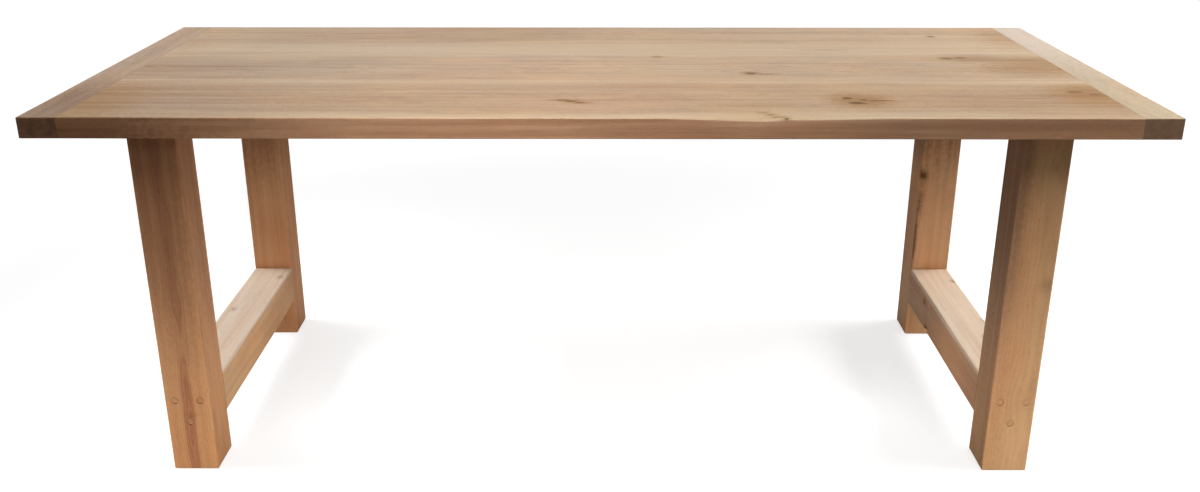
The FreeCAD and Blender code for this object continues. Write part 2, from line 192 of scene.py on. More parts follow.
def plane_by_hand(block, low, high, seams):
    """Dips the points of each side that is no seam inwards, by up to the planing depth."""
    for vert in block.verts:
        start = vert.co.copy()
        waves = noise.noise_vector(start * PLANING_WAVES_PER_METRE)
        for axis, name in enumerate(AXES):
            dip = PLANING_DEPTH * (0.5 + 0.5 * waves[axis])
            if start[axis] - low[axis] < SKIN and f"{name}-" not in seams:
                vert.co[axis] += dip
            elif high[axis] - start[axis] < SKIN and f"{name}+" not in seams:
                vert.co[axis] -= dip


print("planing: up to", PLANING_DEPTH * 1000, "mm deep")

# %% [markdown]
# ## Hollows in an arris
# Timber that was sawn close to the bark can lack a little wood along an arris. The helper below
# pushes the points near an arris inwards on both sides, most at the deepest place and less
# towards the ends, with a ragged depth. Three cuts beside the arris give it points to push.

# %% Hollow an arris
RAGGED_WAVES_PER_METRE = 55.0
RAGGED_LEVEL = 0.75
RAGGED_SWING = 0.5
ARRIS_CUT_SHARES = (0.2, 0.4, 0.7)


def wear_arris(block, low, high, sides, along, places, width, depth):
    """Hollows an arris between two sides: places are where it starts, is deepest and ends."""
    first, deepest, last = places
    run = AXES.index(along)
    for vert in block.verts:
        place = vert.co[run]
        if not first < place < last:
            continue
        start = first if place < deepest else last
        reach = (place - start) / (deepest - start)
        gaps = []
        for side in sides:
            axis = AXES.index(side[0])
            gaps.append((high[axis] - vert.co[axis]) if side[1] == "+" else (vert.co[axis] - low[axis]))
        nearness = max(0, 1 - max(gaps) / width)
        wave = noise.noise(Vector((place * RAGGED_WAVES_PER_METRE, 0, 0)))
        swell = reach * reach * (3 - 2 * reach)
        shift = depth * (RAGGED_LEVEL + RAGGED_SWING * wave) * nearness * swell
        for side in sides:
            axis = AXES.index(side[0])
            vert.co[axis] += -shift if side[1] == "+" else shift


print("cuts beside a worn arris:", ARRIS_CUT_SHARES, "of its width")

# %% [markdown]
# ## From block to piece
# A finished block becomes a mesh object that rides on the frame's only body and replaces its
# plain node there. The object itself stays at the origin, unturned, because its place is in its
# mesh. That lets every material read Object coordinates as places on the table.

# %% Finish a piece
pieces = {}


def add_object(name, data):
    """A new object of the scene, at the origin."""
    made = bpy.data.objects.new(name, data)
    bpy.context.scene.collection.objects.link(made)
    return made


def finish_piece(node, block):
    """Makes a block the piece that stands for a node, with sharp borders beside its rounds."""
    strip = block.faces.layers.int["arris"]
    for face in block.faces:
        face.smooth = True
    for edge in block.edges:
        if len({face[strip] for face in edge.link_faces}) > 1:
            edge.smooth = False
    mesh = bpy.data.meshes.new(f"{node}_wood")
    block.to_mesh(mesh)
    block.free()
    piece = add_object(f"{node}_wood", mesh)
    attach(piece, "root")
    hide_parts(node)
    pieces[node] = piece


# %% [markdown]
# ## The boards of the top
# Three wide boards lie side by side, with a board across each end. The front board is the one
# with character: its upper arris has a long shallow hollow right of the middle, where the tree
# was not quite full. A few extra cuts near that arris give the hollow points to work on.

# %% Model the boards
BOARD_SEAMS = {
    "front_board": ("x-", "x+", "y+"),
    "middle_board": ("x-", "x+", "y-", "y+"),
    "back_board": ("x-", "x+", "y-"),
}
HOLLOW_SHARES = (0.55, 0.643, 0.786)
HOLLOW_WIDTH = 0.022
HOLLOW_DEPTH = 0.0075

for node in TOP_BOARDS:
    low, high = timber_box(node)
    block = eased_block(low, high, BOARD_SEAMS[node], TOP_ARRIS)
    slice_block(block, "x", even_places(low.x, high.x, BOARD_STEP))
    slice_block(block, "y", even_places(low.y, high.y, BOARD_STEP))
    if node == "front_board":
        slice_block(block, "y", between(low.y, low.y + HOLLOW_WIDTH, ARRIS_CUT_SHARES))
        slice_block(block, "z", between(high.z, high.z - HOLLOW_WIDTH, ARRIS_CUT_SHARES))
    plane_by_hand(block, low, high, BOARD_SEAMS[node])
    if node == "front_board":
        places = between(low.x, high.x, HOLLOW_SHARES)
        wear_arris(block, low, high, ("y-", "z+"), "x", places, HOLLOW_WIDTH, HOLLOW_DEPTH)
    finish_piece(node, block)
print("boards:", {node: len(pieces[node].data.polygons) for node in TOP_BOARDS})

# %% Model the end boards
END_SEAMS = {"left_end_board": ("x+",), "right_end_board": ("x-",)}
for node in END_BOARDS:
    low, high = timber_box(node)
    block = eased_block(low, high, END_SEAMS[node], TOP_ARRIS)
    slice_block(block, "y", even_places(low.y, high.y, BOARD_STEP))
    plane_by_hand(block, low, high, END_SEAMS[node])
    finish_piece(node, block)
print("end boards:", {node: len(pieces[node].data.polygons) for node in END_BOARDS})

# %% [markdown]
# ## Posts with dowel holes
# Three dowels run through each post into the end of the stretcher, and their sawn ends show as
# rings on the outer face. For a ring to read as a ring it needs a real hole: the faces around it
# are dissolved into one, that face is taken out, and a fill between its border and three circles
# leaves the holes open. The rims are then extruded into the wood as short walls, and a bottom
# behind each dowel closes the mesh.

# %% Places of the dowels
DOWEL_RADIUS = 0.007


def dowels_of(post):
    return post.replace("_post", "_dowels")


def dowel_centres(node):
    """Middles of the three dowels of a post on its outer face, two above and one below."""
    low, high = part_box(dowels_of(node))
    face_y = low.y if "_front_" in node else high.y
    upper = high.z - DOWEL_RADIUS
    lower = low.z + DOWEL_RADIUS
    spots = ((low.x + DOWEL_RADIUS, upper), (high.x - DOWEL_RADIUS, upper), ((low.x + high.x) / 2, lower))
    return [Vector((x, face_y, z)) for x, z in spots]


for centre in dowel_centres("right_front_post"):
    print("dowel of the right front post at", [round(v, 3) for v in centre])

# %% Bore the holes
GLUE_LINE = 0.0008
HOLE_DEPTH = 0.004
HOLE_MARGIN = 0.012
HOLE_SIDES = 32
HOLE_WALL = 2
HOLE_BOTTOM = 3


def bore_dowel_holes(block, node):
    """Opens three round holes in the outer face of a post, each with a wall and a bottom."""
    centres = dowel_centres(node)
    face_y = centres[0].y
    inwards = 1 if "_front_" in node else -1
    lowest = min(centre.z for centre in centres) - HOLE_MARGIN
    highest = max(centre.z for centre in centres) + HOLE_MARGIN
    slice_block(block, "z", (lowest, highest))
    zone = []
    for face in block.faces:
        middle = face.calc_center_median()
        if abs(middle.y - face_y) < NEAR and lowest < middle.z < highest:
            zone.append(face)
    panel = bmesh.ops.dissolve_faces(block, faces=zone)["region"]
    rim_edges = [edge for face in panel for edge in face.edges]
    bmesh.ops.delete(block, geom=panel, context="FACES_ONLY")
    lay_upright = Matrix.Rotation(math.pi / 2, 4, "X")
    hole_edges = []
    for centre in centres:
        circle = bmesh.ops.create_circle(
            block, cap_ends=False, segments=HOLE_SIDES, radius=DOWEL_RADIUS + GLUE_LINE,
            matrix=Matrix.Translation(centre) @ lay_upright,
        )
        hole_edges += dict.fromkeys(edge for vert in circle["verts"] for edge in vert.link_edges)
    bmesh.ops.triangle_fill(
        block, edges=rim_edges + hole_edges, use_beauty=True, normal=Vector((0, -inwards, 0)),
    )
    walls = bmesh.ops.extrude_edge_only(block, edges=hole_edges)["geom"]
    wall_ends = [part for part in walls if isinstance(part, bmesh.types.BMVert)]
    bmesh.ops.translate(block, vec=Vector((0, inwards * HOLE_DEPTH, 0)), verts=wall_ends)
    strip = block.faces.layers.int["arris"]
    for part in walls:
        if isinstance(part, bmesh.types.BMFace):
            part[strip] = HOLE_WALL
    bottom_edges = [edge for edge in block.edges if all(vert in wall_ends for vert in edge.verts)]
    for bottom in bmesh.ops.edgeloop_fill(block, edges=bottom_edges)["faces"]:
        bottom[strip] = HOLE_BOTTOM
    bmesh.ops.recalc_face_normals(block, faces=block.faces)


print("dowel holes:", HOLE_DEPTH * 1000, "mm deep, with a glue line of", GLUE_LINE * 1000, "mm")

# %% [markdown]
# ## A dead knot on one post
# The right back post keeps a flaw of the tree: a dead knot on its inner front arris, with a
# hollow that runs out downwards. Cuts a few millimetres apart near that arris let the hollow
# follow a ragged line instead of a straight one.

# %% Cut the posts
POST_FLAW_SHARES = (0.37, 0.582, 0.637)
POST_FLAW_WIDTH = 0.024
POST_FLAW_DEPTH = 0.011
FLAW_STEP = 0.006

for node in POSTS:
    low, high = timber_box(node)
    block = eased_block(low, high, ("z+",), ARRIS)
    slice_block(block, "z", even_places(low.z, high.z, POST_STEP))
    flaw = between(low.z, high.z, POST_FLAW_SHARES)
    if node == "right_back_post":
        slice_block(block, "z", even_places(flaw[0], flaw[-1], FLAW_STEP))
        slice_block(block, "x", between(low.x, low.x + POST_FLAW_WIDTH, ARRIS_CUT_SHARES))
        slice_block(block, "y", between(low.y, low.y + POST_FLAW_WIDTH, ARRIS_CUT_SHARES))
    bore_dowel_holes(block, node)
    plane_by_hand(block, low, high, ("z+",))
    if node == "right_back_post":
        wear_arris(block, low, high, ("x-", "y-"), "z", flaw, POST_FLAW_WIDTH, POST_FLAW_DEPTH)
    finish_piece(node, block)
print("posts:", {node: len(pieces[node].data.polygons) for node in POSTS})

# %% [markdown]
# ## Dowels
# A dowel is a turned rod whose end was sawn off and sanded flush, so it sits a hair below the
# face with its rim rubbed round. Each group of three is one piece, as in the drawing.

# %% Model the dowels
DOWEL_SIDES = 32
DOWEL_SUNK = 0.0003
DOWEL_RIM = 0.0006


def rod(block, start, end, radius, rim):
    """A round rod between two points on one axis, with its rims rubbed round."""
    line = end - start
    turn = Vector((0, 0, 1)).rotation_difference(line).to_matrix().to_4x4()
    made = bmesh.ops.create_cone(
        block, cap_ends=True, segments=DOWEL_SIDES, radius1=radius, radius2=radius,
        depth=line.length, matrix=Matrix.Translation((start + end) / 2) @ turn,
    )
    faces = [face for vert in made["verts"] for face in vert.link_faces]
    # Only the two caps have more than four corners
    caps = dict.fromkeys(face for face in faces if len(face.verts) > 4)
    rims = dict.fromkeys(edge for face in caps for edge in face.edges)
    ease(block, list(rims), rim, segments=2)


for node in POSTS:
    low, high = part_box(dowels_of(node))
    sunk = DOWEL_SUNK if "_front_" in node else -DOWEL_SUNK
    far_y = high.y if "_front_" in node else low.y
    block = bmesh.new()
    block.faces.layers.int.new("arris")
    for centre in dowel_centres(node):
        inner_end = Vector((centre.x, far_y, centre.z))
        rod(block, centre + Vector((0, sunk, 0)), inner_end, DOWEL_RADIUS, DOWEL_RIM)
    finish_piece(dowels_of(node), block)
print("dowels:", [len(pieces[dowels_of(node)].data.polygons) for node in POSTS])

# %% [markdown]
# ## Stretchers
# A stretcher is a beam of the same section as the posts, and meets them flush. The right one
# has a small nick in its lower inner edge.

# %% Model the stretchers
NICK_SHARES = (0.665, 0.696, 0.722)
NICK_STEP = 0.003
NICK_WIDTH = 0.012
NICK_DEPTH = 0.006

for node in STRETCHERS:
    low, high = timber_box(node)
    block = eased_block(low, high, ("y-", "y+"), ARRIS)
    slice_block(block, "y", even_places(low.y, high.y, BOARD_STEP))
    nick = between(low.y, high.y, NICK_SHARES)
    if node == "right_stretcher":
        slice_block(block, "y", even_places(nick[0], nick[-1], NICK_STEP))
        slice_block(block, "x", [low.x + NICK_WIDTH / 2])
        slice_block(block, "z", [low.z + NICK_WIDTH / 2])
    plane_by_hand(block, low, high, ("y-", "y+"))
    if node == "right_stretcher":
        wear_arris(block, low, high, ("x-", "z-"), "y", nick, NICK_WIDTH, NICK_DEPTH)
    finish_piece(node, block)
print("stretchers:", [len(pieces[node].data.polygons) for node in STRETCHERS])

# %% [markdown]
# ## Building materials from nodes
# A material here is a chain of shader nodes. A few small helpers keep the chains readable: one
# adds a node and either sets each of its inputs or wires it up, and others add the sums that are
# used most. A node group is built once, has named inputs and outputs, and is placed in each
# material with its own values.

# %% Node helpers
WHITE = (1.0, 1.0, 1.0, 1.0)
MIDDLE_GREY = (0.5, 0.5, 0.5)
NOISE_ROUGHNESS = 0.55


def put(tree, kind, inputs=None, **settings):
    """Adds a node. An input given as a socket is linked, and any other value is set."""
    made = tree.nodes.new(kind)
    for name, value in settings.items():
        setattr(made, name, value)
    for key, value in (inputs or {}).items():
        if isinstance(value, bpy.types.NodeSocket):
            tree.links.new(value, made.inputs[key])
        else:
            made.inputs[key].default_value = value
    return made


def wire(tree, sockets, targets):
    """Links each socket to the target of the same name."""
    for name, socket in sockets.items():
        tree.links.new(socket, targets[name])


def calc(tree, operation, *values, clamp=False):
    made = put(tree, "ShaderNodeMath", dict(enumerate(values)), operation=operation, use_clamp=clamp)
    return made.outputs[0]


def vector_calc(tree, operation, *values):
    made = put(tree, "ShaderNodeVectorMath", dict(enumerate(values)), operation=operation)
    return made.outputs["Value" if operation in ("LENGTH", "DOT_PRODUCT") else "Vector"]


def stretch(tree, vector, amount):
    made = put(tree, "ShaderNodeVectorMath", {"Vector": vector, "Scale": amount}, operation="SCALE")
    return made.outputs["Vector"]


def three_alike(tree, value):
    """A vector, or a grey, with one value three times."""
    return put(tree, "ShaderNodeCombineXYZ", {0: value, 1: value, 2: value}).outputs[0]


print("nodes of Blender", bpy.app.version_string)

# %% Helpers for patterns


def fade(tree, value, start, end, low=0.0, high=1.0):
    """A smooth step from low to high while the value goes from start to end."""
    inputs = {"Value": value, "From Min": start, "From Max": end, "To Min": low, "To Max": high}
    return put(tree, "ShaderNodeMapRange", inputs, interpolation_type="SMOOTHSTEP").outputs["Result"]


def blend(tree, amount, first, second, how="MIX"):
    inputs = {0: amount, 6: first, 7: second}
    return put(tree, "ShaderNodeMix", inputs, data_type="RGBA", blend_type=how).outputs[2]


def cloud(tree, vector, scale, detail, dimensions="3D"):
    key = "W" if dimensions == "1D" else "Vector"
    inputs = {key: vector, "Scale": scale, "Detail": detail, "Roughness": NOISE_ROUGHNESS}
    return put(tree, "ShaderNodeTexNoise", inputs, noise_dimensions=dimensions)


print("noise roughness:", NOISE_ROUGHNESS)

# %% Group helpers
SOCKET_KINDS = {"value": "NodeSocketFloat", "vector": "NodeSocketVector", "colour": "NodeSocketColor"}


def new_group(name, inputs, outputs):
    """A shader node group with sockets named by kind: its tree, what comes in and what goes out."""
    tree = bpy.data.node_groups.new(name, "ShaderNodeTree")
    for way, sockets in (("INPUT", inputs), ("OUTPUT", outputs)):
        for kind, names in sockets.items():
            for socket in names:
                tree.interface.new_socket(name=socket, in_out=way, socket_type=SOCKET_KINDS[kind])
    return tree, tree.nodes.new("NodeGroupInput").outputs, tree.nodes.new("NodeGroupOutput").inputs


def place_group(tree, group, inputs):
    return put(tree, "ShaderNodeGroup", inputs, node_tree=group).outputs


print("sockets of a group:", ", ".join(SOCKET_KINDS))

# %% [markdown]
# ## How oak gets its figure
# Boards show stripes, arches or plain lines for one reason: a tree grows in rings around its
# pith, and the saw cuts them at an angle. So the figure is not drawn on each face. The group
# below measures how far a point lies from the pith of its own log and turns that distance into
# rings. A face near the pith shows arches, a far one shows lines, and the sawn ends show rounds.
# Slow noise bends the pith, so that the arches open and close along the timber. Fibres, pores,
# mottles and blushes are noise stretched along the log. The heart is dark and the sapwood under
# the bark pale.

# %% The oak figure group
# Waves per metre, along the log and across it
SLOW_BENDS = (1.3, 2.5)
QUICK_BENDS = (5.0, 18.0)
FIBRES = (2.2, 75.0)
PORES = (150.0, 2200.0)
MOTTLES = (6.0, 14.0)
PATCHES = (1.6, 6.0)
BLUSHES = (2.5, 9.0)
FIGURE_MASKS = ("Rings", "Bands", "Fibre", "Pores", "Patches", "Blush", "Heart", "Sap")
figure, given, result = new_group(
    "oak_figure",
    {
        "vector": ("Point",),
        "value": ("Seed", "Ring Width", "Wander", "Ripple", "Heart Radius", "Sap Radius", "Sap Blur"),
    },
    {"value": FIGURE_MASKS},
)
shifted = vector_calc(figure, "ADD", given["Point"], three_alike(figure, given["Seed"]))


def log_noise(waves, detail):
    along, across = waves
    return cloud(figure, vector_calc(figure, "MULTIPLY", shifted, (along, across, across)), 1.0, detail)


def bend(waves, amount):
    """A push to either side of up to half the amount."""
    centred = vector_calc(figure, "SUBTRACT", log_noise(waves, 2.0).outputs["Color"], MIDDLE_GREY)
    return stretch(figure, centred, amount)


print("masks of the figure:", ", ".join(FIGURE_MASKS))

# %% Rings, bands and fibres
# A range is where a noise starts to count and where it counts in full
BAND_RANGE = (0.28, 0.72)
FIBRE_RANGE = (0.3, 0.7)
PORE_RANGE = (0.56, 0.66)
PATCH_RANGE = (0.76, 1.24)
BLUSH_RANGE = (0.36, 0.64)
RING_SHARPNESS = 2.0
RING_PORE_SHARE = 0.6
BANDS_PER_RING = 0.21
SEED_IN_RINGS = 7.0
bent = vector_calc(figure, "ADD", given["Point"], bend(SLOW_BENDS, given["Wander"]))
bent = vector_calc(figure, "ADD", bent, bend(QUICK_BENDS, given["Ripple"]))
radius = vector_calc(figure, "LENGTH", vector_calc(figure, "MULTIPLY", bent, (0, 1, 1)))
ring_count = calc(figure, "DIVIDE", radius, given["Ring Width"])
ring_wave = calc(figure, "SINE", calc(figure, "MULTIPLY", ring_count, 2 * math.pi))
rings = calc(figure, "POWER", calc(figure, "MULTIPLY_ADD", ring_wave, 0.5, 0.5), RING_SHARPNESS)
ring_seed = calc(figure, "MULTIPLY_ADD", given["Seed"], SEED_IN_RINGS, ring_count)
bands = cloud(figure, ring_seed, BANDS_PER_RING, 2.0, "1D").outputs[0]
fibre = log_noise(FIBRES, 5.0).outputs[0]
pore_spots = fade(figure, log_noise(PORES, 1.0).outputs[0], *PORE_RANGE)
pore_amount = calc(figure, "MULTIPLY_ADD", rings, RING_PORE_SHARE, 1.0 - RING_PORE_SHARE)
patches = calc(figure, "ADD", log_noise(PATCHES, 3.0).outputs[0], log_noise(MOTTLES, 5.0).outputs[0])
wire(figure, {
    "Rings": rings,
    "Bands": fade(figure, bands, *BAND_RANGE),
    "Fibre": fade(figure, fibre, *FIBRE_RANGE),
    "Pores": calc(figure, "MULTIPLY", pore_spots, pore_amount),
    "Patches": fade(figure, patches, *PATCH_RANGE),
    "Blush": fade(figure, log_noise(BLUSHES, 3.0).outputs[0], *BLUSH_RANGE),
}, result)
print("rings, bands and fibres:", len(figure.nodes), "nodes")

# %% Heart and sapwood
# The fibres fray both borders
HEART_FRAY = 0.9
HEART_START_SHARE = 0.55
SAP_FRAY = 2.0
fringe = calc(figure, "SUBTRACT", fibre, 0.5)
heart_fringe = calc(figure, "MULTIPLY", fringe, given["Heart Radius"])
heart_border = calc(figure, "MULTIPLY_ADD", heart_fringe, HEART_FRAY, radius)
heart_start = calc(figure, "MULTIPLY", given["Heart Radius"], HEART_START_SHARE)
sap_fringe = calc(figure, "MULTIPLY", fringe, given["Sap Blur"])
sap_border = calc(figure, "MULTIPLY_ADD", sap_fringe, SAP_FRAY, radius)
sap_start = calc(figure, "SUBTRACT", given["Sap Radius"], given["Sap Blur"])
sap_end = calc(figure, "ADD", given["Sap Radius"], given["Sap Blur"])
wire(figure, {
    "Heart": fade(figure, heart_border, heart_start, given["Heart Radius"], 1.0, 0.0),
    "Sap": fade(figure, sap_border, sap_start, sap_end),
}, result)
print("oak_figure:", len(figure.nodes), "nodes")

# %% [markdown]
# ## Knots, splits, stains and painted shade
# A knot is the foot of a branch: a dark core with a brown halo, and the grain of the trunk flows
# around it. The group squeezes the point it is given towards the knot's middle before the rings
# are worked out, so the rings open up around it. A long thin size makes a split or a dark streak
# out of the same group, and a halo without a core is a soft stain; such halos also paint shade on
# the upper ends of the posts, at the left end of the top and at the far end of a stretcher. Rough
# wood around a knot is dull, which keeps its brown deep where the top mirrors the sky.

# %% The knot group
# Ranges are distances from the knot's middle, counted in its sizes
HALO_RANGE = (0.5, 3.4)
HALO_SHARPNESS = 2.0
CORE_RANGE = (0.6, 1.15)
SQUEEZE = -0.6
CRUMPLE = 1.3
CRUMPLES_PER_METRE = 90.0
KNOT_MASKS = ("Core", "Halo", "Dull")
knot, given, result = new_group(
    "oak_knot",
    {"vector": ("Point", "Middle", "Size"), "value": KNOT_MASKS},
    {"vector": ("Point",), "value": KNOT_MASKS},
)
offset = vector_calc(knot, "SUBTRACT", given["Point"], given["Middle"])
crumple = cloud(knot, given["Point"], CRUMPLES_PER_METRE, 3.0).outputs["Color"]
crumple = stretch(knot, vector_calc(knot, "SUBTRACT", crumple, MIDDLE_GREY), CRUMPLE)
uneven = vector_calc(knot, "ADD", vector_calc(knot, "DIVIDE", offset, given["Size"]), crumple)
distance = vector_calc(knot, "LENGTH", uneven)
halo = calc(knot, "POWER", fade(knot, distance, *HALO_RANGE, 1.0, 0.0), HALO_SHARPNESS)
squeeze = calc(knot, "MULTIPLY", calc(knot, "MULTIPLY", halo, given["Core"]), SQUEEZE)
core = fade(knot, distance, *CORE_RANGE, 1.0, 0.0)
wire(knot, {
    "Point": vector_calc(knot, "ADD", given["Point"], stretch(knot, offset, squeeze)),
    "Core": calc(knot, "MULTIPLY", core, given["Core"]),
    # The halo mask holds knot halos, stains and painted shade
    "Halo": calc(knot, "MULTIPLY", halo, given["Halo"]),
    "Dull": calc(knot, "MULTIPLY", halo, given["Dull"]),
}, result)
print("oak_knot:", len(knot.nodes), "nodes")

# %% [markdown]
# ## Rubbed arrises
# Edges are touched most, so the oil wears off there and the wood goes a little paler. The group
# finds an arris from the box of the timber: a point is near an edge when it is close to two
# sides at once, which is the middle one of its three distances to the sides.

# %% The arris wear group
RUBS_PER_METRE = 45.0
RUB_SWING = 1.6
LEAST_RUB = 0.2
wear, given, result = new_group(
    "arris_wear", {"vector": ("Point", "Middle", "Half Size"), "value": ("Width",)}, {"value": ("Wear",)},
)
from_middle = vector_calc(wear, "ABSOLUTE", vector_calc(wear, "SUBTRACT", given["Point"], given["Middle"]))
to_sides = vector_calc(wear, "SUBTRACT", given["Half Size"], from_middle)
gaps = put(wear, "ShaderNodeSeparateXYZ", {0: to_sides}).outputs
smaller = calc(wear, "MINIMUM", gaps[0], gaps[1])
larger = calc(wear, "MAXIMUM", gaps[0], gaps[1])
middle_gap = calc(wear, "MAXIMUM", smaller, calc(wear, "MINIMUM", larger, gaps[2]))
rubs = cloud(wear, given["Point"], RUBS_PER_METRE, 3.0).outputs[0]
worn_width = calc(wear, "MULTIPLY", given["Width"], calc(wear, "MULTIPLY_ADD", rubs, RUB_SWING, LEAST_RUB))
wire(wear, {"Wear": fade(wear, middle_gap, 0.0, worn_width, 1.0, 0.0)}, result)
print("arris_wear:", len(wear.nodes), "nodes")

# %% [markdown]
# ## The colour of oiled oak
# This group turns the figure into colour, roughness and height. Mottles and stripes decide
# between a light and a dark wood, and blushes make it rosier or more like straw. Then heart,
# sapwood, stains, knots and pores are laid over that, with sapwood and stains broken up by the
# fibres. The stain colour also paints shade, and on the stretchers the sapwood colour paints a
# highlight. Upright faces of the top get a painted shade, darker and redder, and sawn ends drink
# the most oil, so they go darker. The height feeds a bump: pores and knots lie low.

# %% The oiled oak group
ROSY_TINT = (1.03, 0.96, 0.92, 1.0)
STRAW_TINT = (0.99, 1.01, 1.02, 1.0)
HEARTWOOD = (0.39, 0.145, 0.06, 1.0)
HEART_LINE = (0.22, 0.08, 0.034, 1.0)
KNOT_CORE = (0.12, 0.05, 0.013, 1.0)
# Painted shade for the upright faces of the top: darker and redder, with darker streaks along the fibres
UPRIGHT_SHADE_TINT = (0.91, 0.725, 0.715, 1.0)
UPRIGHT_SHADE_STREAK_TINT = (0.78, 0.72, 0.66, 1.0)
END_TINT = (0.53, 0.44, 0.42, 1.0)
WORN_TINT = (1.14, 1.15, 1.17, 1.0)
oiled, given, result = new_group(
    "oiled_oak",
    {
        "colour": ("Light", "Dark", "Stain", "Sapwood"),
        "value": (*FIGURE_MASKS, *KNOT_MASKS, "Stripes", "End", "Edge", "Wear"),
    },
    {"colour": ("Colour",), "value": ("Roughness", "Height")},
)


def lay_over(below, amount, above):
    return blend(oiled, amount, below, above)


def tint(below, amount, tone):
    return blend(oiled, amount, below, tone, "MULTIPLY")


def times(socket, amount):
    return calc(oiled, "MULTIPLY", given[socket], amount)


def add_shares(start, shares):
    """A starting value plus a share of each named mask."""
    total = start
    for name, share in shares.items():
        total = calc(oiled, "MULTIPLY_ADD", given[name], share, total)
    return total


print("oiled_oak:", len(oiled.interface.items_tree), "sockets")

# %% Colour
STRIPE_SHARES = {"Bands": 0.24, "Fibre": 0.2, "Rings": 0.16}
STRIPE_MEAN = 0.28
PATCH_SHARES = {"Patches": 0.52}
PLAIN_SHADE = 0.22
HEART_SHARE = 0.8
HEART_LINE_SHARE = 0.4
SAP_FIBRE_SHARES = {"Fibre": -0.35}
SAP_LEVEL = 0.85
STAIN_AND_SHADE_FIBRE_SHARES = {"Fibre": 0.3}
STAIN_AND_SHADE_LEVEL = 0.6
CORE_SHARE = 0.75
PORE_SHARES = {"Pores": -0.28}
WORN_SHARE = 0.7
lines = add_shares(-STRIPE_MEAN, STRIPE_SHARES)
mottled = add_shares(PLAIN_SHADE, PATCH_SHARES)
shade = calc(oiled, "MULTIPLY_ADD", lines, given["Stripes"], mottled, clamp=True)
colour = lay_over(given["Light"], shade, given["Dark"])
colour = tint(colour, 1.0, lay_over(STRAW_TINT, given["Blush"], ROSY_TINT))
colour = lay_over(colour, times("Heart", HEART_SHARE), HEARTWOOD)
colour = lay_over(colour, times("Rings", times("Heart", HEART_LINE_SHARE)), HEART_LINE)
# Sapwood is pale wood; on the stretcher tops this pale layer is a painted highlight
colour = lay_over(colour, times("Sap", add_shares(SAP_LEVEL, SAP_FIBRE_SHARES)), given["Sapwood"])
# Halos lay on the stain colour: knot halos, real stains and painted shade
colour = lay_over(colour, times("Halo", add_shares(STAIN_AND_SHADE_LEVEL, STAIN_AND_SHADE_FIBRE_SHARES)), given["Stain"])
colour = lay_over(colour, times("Core", CORE_SHARE), KNOT_CORE)
colour = tint(colour, 1.0, three_alike(oiled, add_shares(1.0, PORE_SHARES)))
# Painted shade on the upright faces of the top, streaked along the fibres
colour = tint(colour, given["Edge"], UPRIGHT_SHADE_TINT)
colour = tint(colour, times("Edge", given["Fibre"]), UPRIGHT_SHADE_STREAK_TINT)
colour = tint(colour, given["End"], END_TINT)
colour = lay_over(colour, times("Wear", WORN_SHARE), tint(colour, 1.0, WORN_TINT))
print("colour:", len(oiled.nodes), "nodes")

# %% Roughness and height
SMOOTHEST = 0.4
ROUGH_SHARES = {"Fibre": 0.12, "Pores": 0.2, "End": 0.15, "Core": 0.5, "Dull": 0.4, "Patches": -0.06}
HEIGHT_SHARES = {"Pores": -0.6, "Rings": -0.18, "Fibre": 0.3, "Core": -1.4}
wire(oiled, {
    "Colour": colour,
    "Roughness": add_shares(SMOOTHEST, ROUGH_SHARES),
    "Height": add_shares(0.0, HEIGHT_SHARES),
}, result)
print("oiled_oak:", len(oiled.nodes), "nodes")

# %% [markdown]
# ## One timber, one log
# Every timber gets a material of its own, because no two come from the same place in a tree.
# What differs is small: where the pith lies, which way the log points, the wood's colours and
# its knots. A knot's place is given as shares of its timber's box, so that it stays on the timber,
# and its size in metres. A Mapping node moves the pith to the middle of the pattern and turns the
# log along the timber.

# %% Knots on a timber
USUAL_DULL = 0.7
Knot = namedtuple("Knot", "place_shares size core halo dull", defaults=(USUAL_DULL,))
# A size for the direction in which a knot goes right through its timber
THROUGH = 1.0


def place_in(box, shares):
    """A point of a box, as shares of its three sides from the lowest corner."""
    low, high = box
    return [start + (end - start) * share for start, end, share in zip(low, high, shares)]


def grow_knots(tree, point, box, knots):
    """Bends the grain around knots, and gives the masks of their cores, halos and dull spots."""
    masks = dict.fromkeys(KNOT_MASKS, 0.0)
    for spot in knots:
        found = place_group(tree, knot, {
            "Point": point, "Middle": place_in(box, spot.place_shares), "Size": spot.size,
            "Core": spot.core, "Halo": spot.halo, "Dull": spot.dull,
        })
        point = found["Point"]
        masks = {name: calc(tree, "MAXIMUM", found[name], mask) for name, mask in masks.items()}
    return point, masks


print("a knot has", ", ".join(Knot._fields))

# %% Make a material


def new_material(name):
    """A material with its node tree and its shader."""
    material = bpy.data.materials.new(name)
    material.use_nodes = True
    return material, material.node_tree, material.node_tree.nodes["Principled BSDF"]


def dress(node, material):
    """Gives a finished piece, or a node of the frame that stays, its material."""
    target = pieces.get(node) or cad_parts[node]
    target.data.materials.clear()
    target.data.materials.append(material)
    print(f"{node}: {material.name}, {len(material.node_tree.nodes)} nodes")


print("pieces to dress:", len(pieces), "new and", len(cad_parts) - len(pieces), "from the frame")

# %% Dress a timber in oak
# The stain tone colours knot halos and stains, and also the painted shade on posts, stretchers and the
# ends of the top
Tones = namedtuple("Tones", "light dark stain")
# Which way a log points, and how the pattern turns to follow it
ALONG = {
    "x": ((1, 0, 0), (0, 0, 0)),
    "y": ((0, 1, 0), (0, 0, math.pi / 2)),
    "z": ((0, 0, 1), (0, -math.pi / 2, 0)),
}
UP = (0, 0, 1)
SAWN_RANGE = (0.6, 0.95)
UPRIGHT_RANGE = (0.2, 0.8)
BUMP_DEPTH = 0.0006
BUMP_SHARE = 0.6
WORN_WIDTH = 0.006
USUAL_SAPWOOD = (0.65, 0.465, 0.27)


